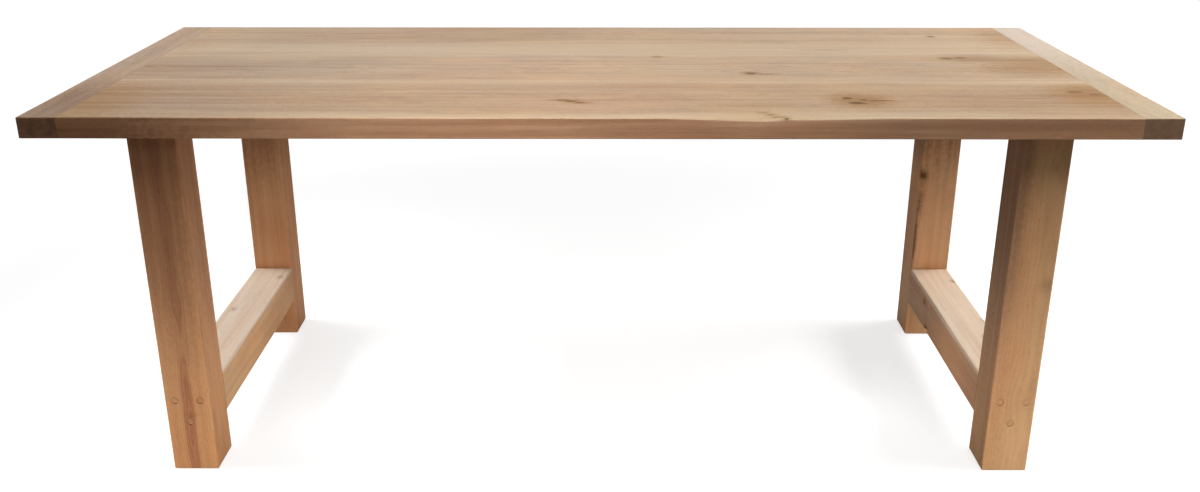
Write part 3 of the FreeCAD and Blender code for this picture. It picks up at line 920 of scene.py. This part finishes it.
def dress_in_oak(node, grain, pith, tones, knots=(), worn_box=None, seed=1.0, rings=0.0045, wander=0.03,
                 ripple=0.012, heart=0.0, sap=1.0, sap_blur=0.01, sapwood=USUAL_SAPWOOD, stripes=1.0,
                 end_share=1.0, upright_shade_share=0.0, sheen=0.22):
    """Gives one timber its own oak, from a log that runs along grain through the point pith."""
    material, tree, shader = new_material(f"oak_{node}")
    place = put(tree, "ShaderNodeTexCoord").outputs
    direction, turn = ALONG[grain]
    point, knot_masks = grow_knots(tree, place["Object"], timber_box(node), knots)
    log = {"Vector": point, "Location": pith, "Rotation": turn}
    grown = place_group(tree, figure, {
        "Point": put(tree, "ShaderNodeMapping", log, vector_type="TEXTURE").outputs[0],
        "Seed": seed, "Ring Width": rings, "Wander": wander, "Ripple": ripple,
        "Heart Radius": heart, "Sap Radius": sap, "Sap Blur": sap_blur,
    })
    low, high = worn_box or timber_box(node)
    rubbed = place_group(tree, wear, {
        "Point": place["Object"], "Width": WORN_WIDTH,
        "Middle": (low + high) / 2, "Half Size": (high - low) / 2,
    })
    sawn = calc(tree, "ABSOLUTE", vector_calc(tree, "DOT_PRODUCT", place["Normal"], direction))
    flat = calc(tree, "ABSOLUTE", vector_calc(tree, "DOT_PRODUCT", place["Normal"], UP))
    finish = place_group(tree, oiled, {
        "Light": (*tones.light, 1.0), "Dark": (*tones.dark, 1.0), "Stain": (*tones.stain, 1.0),
        "Sapwood": (*sapwood, 1.0), "Stripes": stripes, "Wear": rubbed["Wear"],
        "End": fade(tree, sawn, *SAWN_RANGE, 0.0, end_share),
        # Painted shade on upright faces, strongest where a face stands fully upright
        "Edge": fade(tree, flat, *UPRIGHT_RANGE, upright_shade_share, 0.0),
        **knot_masks, **{name: grown[name] for name in FIGURE_MASKS},
    })
    relief = {"Height": finish["Height"], "Strength": BUMP_SHARE, "Distance": BUMP_DEPTH}
    wire(tree, {
        "Base Color": finish["Colour"],
        "Roughness": finish["Roughness"],
        "Normal": put(tree, "ShaderNodeBump", relief).outputs[0],
    }, shader.inputs)
    shader.inputs["Specular IOR Level"].default_value = sheen
    dress(node, material)


print("logs can run along", ", ".join(ALONG))

# %% [markdown]
# ## The top's timber
# The boards were sawn beside the pith, which lies a hand below each one. That leaves brown wood
# along the middle of a board and pale sapwood along its seams. The front board is warm brown,
# and the two behind it are paler. Brown stains darken both ends, the left one most; at the left
# end they are partly browner wood and partly painted shade, and on the front edge painted shade.

# %% Knots of the top


def top_knot(x_share, y_share, length, width, core, halo, dull=USUAL_DULL):
    """A knot that goes right through a board of the top."""
    return Knot((x_share, y_share, 1.0), (length, width, THROUGH), core, halo, dull)


# A halo without a core on the top, used for stains and for painted shade
def top_stain_and_shade(x_share, y_share, length, width, halo, dull):
    return top_knot(x_share, y_share, length, width, 0.0, halo, dull)


# Partly browner wood and partly painted shade at the left end
LEFT_END_STAIN_AND_SHADE = top_stain_and_shade(0.0, 0.5, 0.055, 0.12, halo=0.55, dull=0.15)
TOP_KNOTS = {
    "front_board": (
        top_knot(0.464, 0.45, 0.014, 0.004, core=0.8, halo=0.7),
        top_knot(0.472, 0.42, 0.014, 0.006, core=1.0, halo=0.8),
        top_knot(0.481, 0.38, 0.014, 0.005, core=1.0, halo=0.8),
        top_knot(0.741, 0.505, 0.012, 0.009, core=1.0, halo=0.8),
        top_knot(0.747, 0.38, 0.02, 0.01, core=1.0, halo=0.8),
        top_knot(0.755, 0.45, 0.01, 0.01, core=0.7, halo=0.8),
        top_knot(0.772, 0.44, 0.03, 0.004, core=0.7, halo=0.8),
        top_stain_and_shade(0.754, 0.44, 0.036, 0.032, halo=0.8, dull=0.7),
        top_knot(0.973, 0.68, 0.018, 0.009, core=0.6, halo=0.8),
        top_knot(0.99, 0.62, 0.012, 0.008, core=0.5, halo=0.8),
        top_stain_and_shade(0.99, 0.6, 0.05, 0.05, halo=0.8, dull=0.9),
        top_knot(0.914, 0.5, 0.06, 0.0016, core=0.6, halo=0.6),
        top_knot(0.653, 0.14, 0.009, 0.004, core=0.15, halo=0.35),
        top_knot(0.659, 0.095, 0.009, 0.004, core=0.4, halo=0.4),
        top_knot(0.666, 0.055, 0.013, 0.003, core=0.35, halo=0.4),
        Knot((0.672, 0.025, 1.0), (0.006, 0.004, 0.006), core=1.0, halo=0.6),
        top_stain_and_shade(0.64, 0.33, 0.06, 0.014, halo=0.5, dull=0.2),
        # Partly browner wood and partly painted shade at the left end
        top_stain_and_shade(0.02, 0.45, 0.22, 0.1, halo=1.0, dull=0.0),
        top_stain_and_shade(0.0, 0.35, 0.06, 0.1, halo=0.9, dull=0.6),
        top_stain_and_shade(1.0, 0.42, 0.24, 0.06, halo=0.8, dull=0.0),
        # Painted shade on the left end of the front edge
        Knot((0.0, 0.0, 0.5), (0.2, 0.006, 0.06), core=0.5, halo=0.95, dull=0.0),
    ),
    "middle_board": (
        top_knot(0.66, 0.23, 0.012, 0.009, core=0.8, halo=0.8),
        top_knot(0.674, 0.213, 0.02, 0.003, core=0.6, halo=0.7),
        top_knot(0.564, 0.79, 0.01, 0.005, core=0.5, halo=0.6),
        top_knot(0.89, 0.74, 0.012, 0.008, core=0.6, halo=0.7),
        top_knot(0.905, 0.76, 0.016, 0.008, core=0.5, halo=0.7),
        top_stain_and_shade(0.925, 0.72, 0.05, 0.03, halo=0.45, dull=0.3),
        top_stain_and_shade(0.985, 0.5, 0.08, 0.055, halo=0.65, dull=0.7),
        top_knot(0.071, 0.44, 0.13, 0.0016, core=0.7, halo=0.8),
        top_knot(0.009, 0.44, 0.014, 0.005, core=0.8, halo=0.8),
        top_knot(0.096, 0.103, 0.09, 0.0014, core=0.6, halo=0.7),
        # Partly browner wood and partly painted shade at the left end
        top_stain_and_shade(0.04, 0.35, 0.14, 0.06, halo=0.7, dull=0.0),
        top_stain_and_shade(0.02, 0.9, 0.13, 0.05, halo=0.45, dull=0.0),
        LEFT_END_STAIN_AND_SHADE,
    ),
    "back_board": (
        top_knot(0.906, 0.593, 0.008, 0.006, core=0.6, halo=0.7),
        top_knot(0.762, 0.053, 0.04, 0.002, core=0.6, halo=0.7),
        # Partly browner wood and partly painted shade at the left end
        top_stain_and_shade(0.08, 0.6, 0.2, 0.08, halo=0.5, dull=0.0),
        top_stain_and_shade(0.33, 0.65, 0.2, 0.06, halo=0.3, dull=0.2),
        top_stain_and_shade(1.0, 0.6, 0.05, 0.09, halo=0.5, dull=0.3),
        LEFT_END_STAIN_AND_SHADE,
    ),
}
print("knots and stains of the top:", {node: len(knots) for node, knots in TOP_KNOTS.items()})

# %% Dress the boards
Board = namedtuple("Board", "tones pith_aside stripes seed")
BOARDS = {
    "front_board": Board(
        Tones(light=(0.575, 0.36, 0.168), dark=(0.36, 0.187, 0.074), stain=(0.28, 0.135, 0.035)),
        pith_aside=0.0, stripes=0.6, seed=1.7,
    ),
    "middle_board": Board(
        Tones(light=(0.62, 0.405, 0.213), dark=(0.37, 0.208, 0.096), stain=(0.28, 0.138, 0.042)),
        pith_aside=-0.04, stripes=0.85, seed=4.0,
    ),
    "back_board": Board(
        Tones(light=(0.66, 0.434, 0.225), dark=(0.425, 0.236, 0.106), stain=(0.28, 0.135, 0.05)),
        pith_aside=0.07, stripes=0.85, seed=6.3,
    ),
}
PITH_BELOW_TOP = 0.105
BOARD_SAP = 0.167
BOARD_SAP_BLUR = 0.02
top_box = (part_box("left_end_board")[0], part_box("right_end_board")[1])
for node, board in BOARDS.items():
    low, high = timber_box(node)
    pith = (0, (low.y + high.y) / 2 + board.pith_aside, high.z - PITH_BELOW_TOP)
    # The boards' upright faces get the full painted shade
    dress_in_oak(
        node, "x", pith, board.tones, TOP_KNOTS[node], worn_box=top_box, seed=board.seed, wander=0.06,
        ripple=0.035, sap=BOARD_SAP, sap_blur=BOARD_SAP_BLUR, stripes=board.stripes, upright_shade_share=1.0,
        sheen=0.6,
    )

# %% [markdown]
# ## The boards across the ends
# Their grain runs from front to back, which keeps the top flat. The left one is nearly as brown
# as the boards beside it, with a stain at its front that is partly painted shade on the front left
# corner. The right one came from a much paler plank, and its stain is paler still and lies at its back
# end.

# %% Dress the end boards
PITH_BELOW = 0.05
EndBoard = namedtuple("EndBoard", "tones stain seed end_share")
END_BOARD_LOGS = {
    # Its stain at the front is partly painted shade on the front left corner
    "left_end_board": EndBoard(
        Tones(light=(0.495, 0.315, 0.175), dark=(0.31, 0.19, 0.1), stain=(0.195, 0.104, 0.047)),
        top_stain_and_shade(0.5, 0.1, 0.07, 0.11, halo=1.0, dull=0.3), seed=8.05, end_share=0.75,
    ),
    "right_end_board": EndBoard(
        Tones(light=(0.58, 0.445, 0.275), dark=(0.46, 0.325, 0.187), stain=(0.77, 0.63, 0.51)),
        top_stain_and_shade(0.5, 1.0, 0.2, 0.27, halo=1.0, dull=0.0), seed=10.08, end_share=1.0,
    ),
}
for node, board in END_BOARD_LOGS.items():
    low, high = timber_box(node)
    pith = ((low.x + high.x) / 2, 0, low.z - PITH_BELOW)
    # The end boards' upright faces get half the painted shade
    dress_in_oak(
        node, "y", pith, board.tones, (board.stain,), worn_box=top_box, seed=board.seed, wander=0.05,
        ripple=0.03, stripes=0.7, end_share=board.end_share, upright_shade_share=0.5, sheen=0.3,
    )

# %% [markdown]
# ## The posts' timber
# Posts are warmer, redder oak than the top. The left front post was sawn close to the pith and
# shows a dark heart down the middle of its face. For each post the table says how far the pith
# lies to the right of its middle and behind its outer face, how wide its dark heart is, how much
# its log bends and how strong its stripes are. Painted shade darkens the upper ends, where the
# top overhangs them, and the right back post has its dead knot.

# %% Dress the posts
Log = namedtuple("Log", "pith_aside pith_behind heart wander ripple stripes seed")
POST_LOGS = {
    "left_front_post": Log(0.004, 0.005, heart=0.018, wander=0.03, ripple=0.03, stripes=1.5, seed=21.3),
    "left_back_post": Log(0.02, 0.09, heart=0.0, wander=0.03, ripple=0.012, stripes=1.5, seed=25.0),
    "right_front_post": Log(0.05, 0.11, heart=0.0, wander=0.025, ripple=0.016, stripes=0.7, seed=28.7),
    "right_back_post": Log(-0.03, 0.08, heart=0.0, wander=0.03, ripple=0.012, stripes=1.0, seed=32.4),
}
# The stain tones of the posts also colour the painted shade at their upper ends
POST_TONES = {
    "left_front_post": Tones(
        light=(0.605, 0.295, 0.124), dark=(0.425, 0.184, 0.075), stain=(0.29, 0.13, 0.065),
    ),
    "left_back_post": Tones(
        light=(0.57, 0.28, 0.122), dark=(0.4, 0.178, 0.073), stain=(0.17, 0.075, 0.035),
    ),
    "right_front_post": Tones(
        light=(0.615, 0.346, 0.16), dark=(0.45, 0.232, 0.103), stain=(0.27, 0.14, 0.075),
    ),
    "right_back_post": Tones(
        light=(0.67, 0.37, 0.178), dark=(0.48, 0.24, 0.11), stain=(0.16, 0.07, 0.032),
    ),
}
POST_KNOTS = {
    "left_front_post": (
        Knot((0.53, 0.0, 0.174), (0.01, THROUGH, 0.005), core=0.05, halo=0.4),
        # Painted shade under the top, on the front face and on the inner side
        Knot((0.4, 0.0, 0.75), (0.04, THROUGH, 0.17), core=0.0, halo=0.9),
        Knot((1.0, 0.5, 0.95), (0.014, 0.1, 0.14), core=0.0, halo=0.6),
    ),
    # Painted shade under the top, on the front face
    "left_back_post": (Knot((0.5, 0.0, 0.8), (0.08, THROUGH, 0.09), core=0.0, halo=0.84),),
    "right_front_post": (
        Knot((0.9, 0.0, 0.57), (0.012, THROUGH, 0.01), core=0.1, halo=0.4),
        # Painted shade under the top, on the inner side
        Knot((0.0, 0.5, 0.88), (0.014, 0.1, 0.21), core=0.0, halo=1.0),
    ),
    "right_back_post": (
        Knot((0.076, 0.033, 0.592), (0.009, 0.012, 0.012), core=0.95, halo=0.95),
        Knot((0.043, 0.022, 0.527), (0.005, 0.006, 0.045), core=0.9, halo=0.9),
        Knot((0.011, 0.011, 0.377), (0.004, 0.004, 0.07), core=0.7, halo=0.8),
        # Painted shade under the top, on the front face
        Knot((0.4, 0.0, 0.8), (0.08, THROUGH, 0.075), core=0.0, halo=1.0),
    ),
}
for node, log in POST_LOGS.items():
    low, high = timber_box(node)
    pith_y = low.y + log.pith_behind if "_front_" in node else high.y - log.pith_behind
    pith = ((low.x + high.x) / 2 + log.pith_aside, pith_y, 0)
    dress_in_oak(
        node, "z", pith, POST_TONES[node], POST_KNOTS[node], seed=log.seed, rings=0.004,
        wander=log.wander, ripple=log.ripple, heart=log.heart, stripes=log.stripes,
    )

# %% [markdown]
# ## The stretchers' timber
# The upper faces of both stretchers get a thin pale layer in a sapwood colour, a painted
# highlight for the strong light from above, while their sides are as brown as the posts.

# %% Dress the stretchers
STRETCHER_PITH_DEPTH = 0.2
# Depth and blur of the pale layer on the stretcher tops, a painted highlight
PAINTED_HIGHLIGHT_DEPTH = 0.003
PAINTED_HIGHLIGHT_BLUR = 0.003
Beam = namedtuple("Beam", "tones sapwood knots seed")
STRETCHER_BEAMS = {
    "left_stretcher": Beam(
        Tones(light=(0.61, 0.358, 0.18), dark=(0.46, 0.253, 0.12), stain=(0.36, 0.21, 0.11)),
        # Pale colour of the painted highlight on the top
        sapwood=(0.65, 0.57, 0.475),
        knots=(
            Knot((0.86, 0.9, 1.0), (0.007, 0.012, 0.03), core=0.35, halo=0.55),
            # Painted shade where the back post shades the far end
            Knot((0.5, 1.0, 1.0), (0.06, 0.035, 0.03), core=0.0, halo=0.3),
            Knot((0.23, 0.554, 1.0), (0.005, 0.01, 0.03), core=0.25, halo=0.45),
        ),
        seed=41.9,
    ),
    "right_stretcher": Beam(
        Tones(light=(0.6, 0.34, 0.18), dark=(0.45, 0.235, 0.122), stain=(0.3, 0.16, 0.08)),
        # Pale colour of the painted highlight on the top
        sapwood=(0.74, 0.635, 0.49),
        knots=(
            Knot((0.717, 0.29, 1.0), (0.004, 0.01, 0.03), core=0.6, halo=0.7),
            Knot((1.0, 0.45, 1.0), (0.005, 0.01, 0.03), core=0.6, halo=0.7),
            Knot((0.913, 0.86, 1.0), (0.004, 0.008, 0.03), core=0.4, halo=0.6),
            Knot((0.0, 0.75, 0.696), (0.03, 0.008, 0.006), core=0.5, halo=0.65),
            Knot((0.0, 0.696, 0.065), (0.02, 0.012, 0.008), core=0.7, halo=0.8),
        ),
        seed=47.2,
    ),
}
for node, beam in STRETCHER_BEAMS.items():
    low, high = timber_box(node)
    pith = ((low.x + high.x) / 2, 0, high.z - STRETCHER_PITH_DEPTH)
    dress_in_oak(
        node, "y", pith, beam.tones, beam.knots, seed=beam.seed, sapwood=beam.sapwood,
        sap=STRETCHER_PITH_DEPTH - PAINTED_HIGHLIGHT_DEPTH, sap_blur=PAINTED_HIGHLIGHT_BLUR, wander=0.008, ripple=0.006,
    )

# %% [markdown]
# ## Rails, dowels and pegs
# The rails under the top and the pegs in the end boards are plain oak. A dowel is cut along its
# grain, so what shows of it is a small round of end grain, hardly darker than the post.

# %% Dress the small timbers
RAILS = ("left_top_rail", "right_top_rail")
END_PEGS = ("left_end_pegs", "right_end_pegs")
FINE_RINGS = 0.003
DOWEL_KNOTS = {"left_front_post": (Knot((0.5, 0.0, 0.1), (0.012, THROUGH, 0.012), core=0.0, halo=0.4),)}


def pith_beneath(node):
    low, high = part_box(node)
    return (low.x + high.x) / 2, 0, low.z - PITH_BELOW


for number, node in enumerate(RAILS):
    dress_in_oak(node, "y", pith_beneath(node), POST_TONES["left_back_post"], seed=number)
for number, post in enumerate(POSTS):
    node = dowels_of(post)
    dress_in_oak(
        node, "y", pith_beneath(node), POST_TONES[post], DOWEL_KNOTS.get(post, ()), seed=number,
        rings=FINE_RINGS, end_share=0.25,
    )
for number, node in enumerate(END_PEGS):
    pith = (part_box(node)[0].x - PITH_BELOW, 0, 0)
    dress_in_oak(node, "z", pith, POST_TONES["right_front_post"], seed=number, rings=FINE_RINGS)

# %% [markdown]
# ## Hardware
# Bolts and washers are zinc plated steel and the inserts plain brass. Fine noise breaks up the
# gloss of each, as handling and the plating bath do.

# %% Dress the hardware
SPOTS_PER_METRE = 260.0
SPOT_RANGE = (0.4, 0.7)
SPOT_ROUGHNESS = 0.25
SMOOTHEST_METAL = 0.25


def plated_metal(name, colour, stain):
    material, tree, shader = new_material(name)
    point = put(tree, "ShaderNodeTexCoord").outputs["Object"]
    mottle = cloud(tree, point, SPOTS_PER_METRE, 4.0).outputs[0]
    wire(tree, {
        "Base Color": blend(tree, fade(tree, mottle, *SPOT_RANGE), (*colour, 1.0), (*stain, 1.0)),
        "Roughness": calc(tree, "MULTIPLY_ADD", mottle, SPOT_ROUGHNESS, SMOOTHEST_METAL),
    }, shader.inputs)
    shader.inputs["Metallic"].default_value = 1.0
    return material


zinc = plated_metal("zinc_plate", (0.62, 0.62, 0.6), (0.45, 0.46, 0.47))
brass = plated_metal("turned_brass", (0.72, 0.55, 0.27), (0.55, 0.4, 0.18))
for side in ("left", "right"):
    dress(f"{side}_bolts", zinc)
    dress(f"{side}_washers", zinc)
    dress(f"{side}_inserts", brass)

# %% [markdown]
# ## The floor
# A wide pale floor takes the table's shadow. To the camera it also glows a little, so that it
# comes out nearly white without more light on the table. To all other rays it is a plain grey
# floor, so that it does not throw too much light up under the top.

# %% Floor
FLOOR_SIZE = 40.0
FLOOR_TONE = 0.3
FLOOR_ROUGHNESS = 0.9
SHADOW_TONE = 0.4
NEAR_GLOW = 0.69
FAR_GLOW = 0.94
GLOW_START = 1.0
GLOW_END = 3.0
flat_sheet = bmesh.new()
bmesh.ops.create_grid(flat_sheet, x_segments=1, y_segments=1, size=FLOOR_SIZE / 2)
floor_mesh = bpy.data.meshes.new("floor")
flat_sheet.to_mesh(floor_mesh)
flat_sheet.free()
floor = add_object("floor", floor_mesh)
floor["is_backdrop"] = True

pale, tree, shader = new_material("pale_floor")
seen = put(tree, "ShaderNodeLightPath").outputs["Is Camera Ray"]
tone = calc(tree, "MULTIPLY_ADD", seen, SHADOW_TONE - FLOOR_TONE, FLOOR_TONE)
distance = vector_calc(tree, "LENGTH", put(tree, "ShaderNodeTexCoord").outputs["Object"])
glow = calc(tree, "MULTIPLY", seen, fade(tree, distance, GLOW_START, GLOW_END, NEAR_GLOW, FAR_GLOW))
wire(tree, {"Base Color": three_alike(tree, tone), "Emission Strength": glow}, shader.inputs)
shader.inputs["Emission Color"].default_value = WHITE
shader.inputs["Roughness"].default_value = FLOOR_ROUGHNESS
shader.inputs["Specular IOR Level"].default_value = 0.0
floor.data.materials.append(pale)
print("floor:", FLOOR_SIZE, "m wide")

# %% [markdown]
# ## The light
# Most light comes from high above and a little in front, as from a bright sky, so the overhang of
# the top shades the upper ends of the posts. Soft panels do what a pale yard does around a real
# table: an opening on each side, a bright window side in front, and low cards for the light that
# the ground throws back onto the lower ends of the posts and the sides of the stretchers.

# %% Sky
SKY_LIGHT = 0.12
SUN_STRENGTH = 0.72
SUN_ANGLE = math.radians(80)
SUN_TILT = (math.radians(-22), math.radians(-6), 0)
world = bpy.data.worlds.new("soft_sky")
bpy.context.scene.world = world
world.use_nodes = True
tree = world.node_tree
path = put(tree, "ShaderNodeLightPath").outputs
mirrored = calc(tree, "MAXIMUM", path["Is Glossy Ray"], path["Is Transmission Ray"])
shown = calc(tree, "MAXIMUM", path["Is Camera Ray"], mirrored)
backdrop = tree.nodes["Background"].inputs
backdrop["Color"].default_value = WHITE
wire(tree, {"Strength": calc(tree, "MULTIPLY_ADD", shown, 1.0 - SKY_LIGHT, SKY_LIGHT)}, backdrop)
sun = bpy.data.lights.new("sky_light", "SUN")
sun.energy = SUN_STRENGTH
sun.angle = SUN_ANGLE
add_object("sky_light", sun).rotation_euler = SUN_TILT
print("sky:", SKY_LIGHT, "all round and", SUN_STRENGTH, "from above")

# %% Panels
# Where a panel hangs, what it faces, its sides in metres, its watts and its beam in degrees
Panel = namedtuple("Panel", "place aim size watts beam")
PANELS = {
    "left_opening": Panel((-3.2, 0.8, 1.5), (-0.6, 0.1, 0.8), (3.0, 2.4), 2.5, 180),
    "right_opening": Panel((3.2, 0.8, 1.5), (0.6, 0.1, 0.8), (3.0, 2.4), 14.0, 180),
    "left_low_card": Panel((-2.1, 0.2, 1.3), (-0.84, 0.0, 0.0), (2.0, 0.5), 6.5, 50),
    "right_low_card": Panel((2.1, 0.1, 1.2), (0.8, 0.0, 0.0), (2.0, 0.5), 8.0, 60),
    "front_window": Panel((0.4, -1.8, 3.3), (0.35, -0.45, 0.35), (2.2, 1.6), 15.0, 90),
    "front_lamp": Panel((-0.15, -2.5, 2.0), (-0.2, -0.45, 0.82), (0.5, 0.3), 0.81, 27),
    "floor_card": Panel((0.0, -1.8, 0.1), (0.0, -0.38, 0.08), (3.4, 0.16), 3.9, 50),
    "middle_card": Panel((0.0, 0.1, 0.02), (0.0, 0.1, 1.0), (1.4, 1.0), 0.45, 180),
    "left_knee_card": Panel((-0.1, 0.0, 0.2), (-0.79, 0.0, 0.2), (0.35, 0.8), 1.3, 110),
    "left_shin_card": Panel((-0.5, -0.18, 0.07), (-0.79, -0.22, 0.07), (0.1, 0.35), 0.3, 150),
    "right_shin_card": Panel((0.5, -0.12, 0.07), (0.79, -0.14, 0.07), (0.1, 0.45), 0.42, 150),
}


def hang_panel(name, panel):
    light = bpy.data.lights.new(name, "AREA")
    light.shape = "RECTANGLE"
    light.size, light.size_y = panel.size
    light.energy = panel.watts
    light.spread = math.radians(panel.beam)
    lamp = add_object(name, light)
    lamp.location = panel.place
    lamp.rotation_euler = (Vector(panel.aim) - Vector(panel.place)).to_track_quat("-Z", "Y").to_euler()
    lamp.visible_camera = False


for name, panel in PANELS.items():
    hang_panel(name, panel)
print("panels:", ", ".join(f"{name} {panel.watts} W" for name, panel in PANELS.items()))

# %% [markdown]
# ## The camera
# The camera stands where the photograph was taken from. Its place, its tilt and its focal length
# were fitted to the corners of the table in an image of 1200 by 492 pixels. A focal length in
# pixels turns into millimetres by the width of the sensor over the width of the image.

# %% Camera
IMAGE_WIDTH = 1200
FOCAL_LENGTH_PX = 1171.8
SENSOR_WIDTH = 36.0
CAMERA_PLACE = (0.01, -2.494, 1.301)
CAMERA_PITCH = math.radians(20.8)
CAMERA_YAW = math.radians(0.25)
lens = bpy.data.cameras.new("photo_camera")
lens.sensor_fit = "HORIZONTAL"
lens.sensor_width = SENSOR_WIDTH
lens.lens = SENSOR_WIDTH * FOCAL_LENGTH_PX / IMAGE_WIDTH
camera = add_object("photo_camera", lens)
camera.location = CAMERA_PLACE
camera.rotation_euler = (math.pi / 2 - CAMERA_PITCH, 0, CAMERA_YAW)
bpy.context.scene.camera = camera
bpy.context.scene.view_settings.view_transform = "Standard"
print("camera lens:", round(lens.lens, 2), "mm")

# %% [markdown]
# ## Sizes and the finished table
# The outer box of the dressed table is measured. The dressed table must be no larger
# than the drawing.

# %% Finish
low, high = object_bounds()
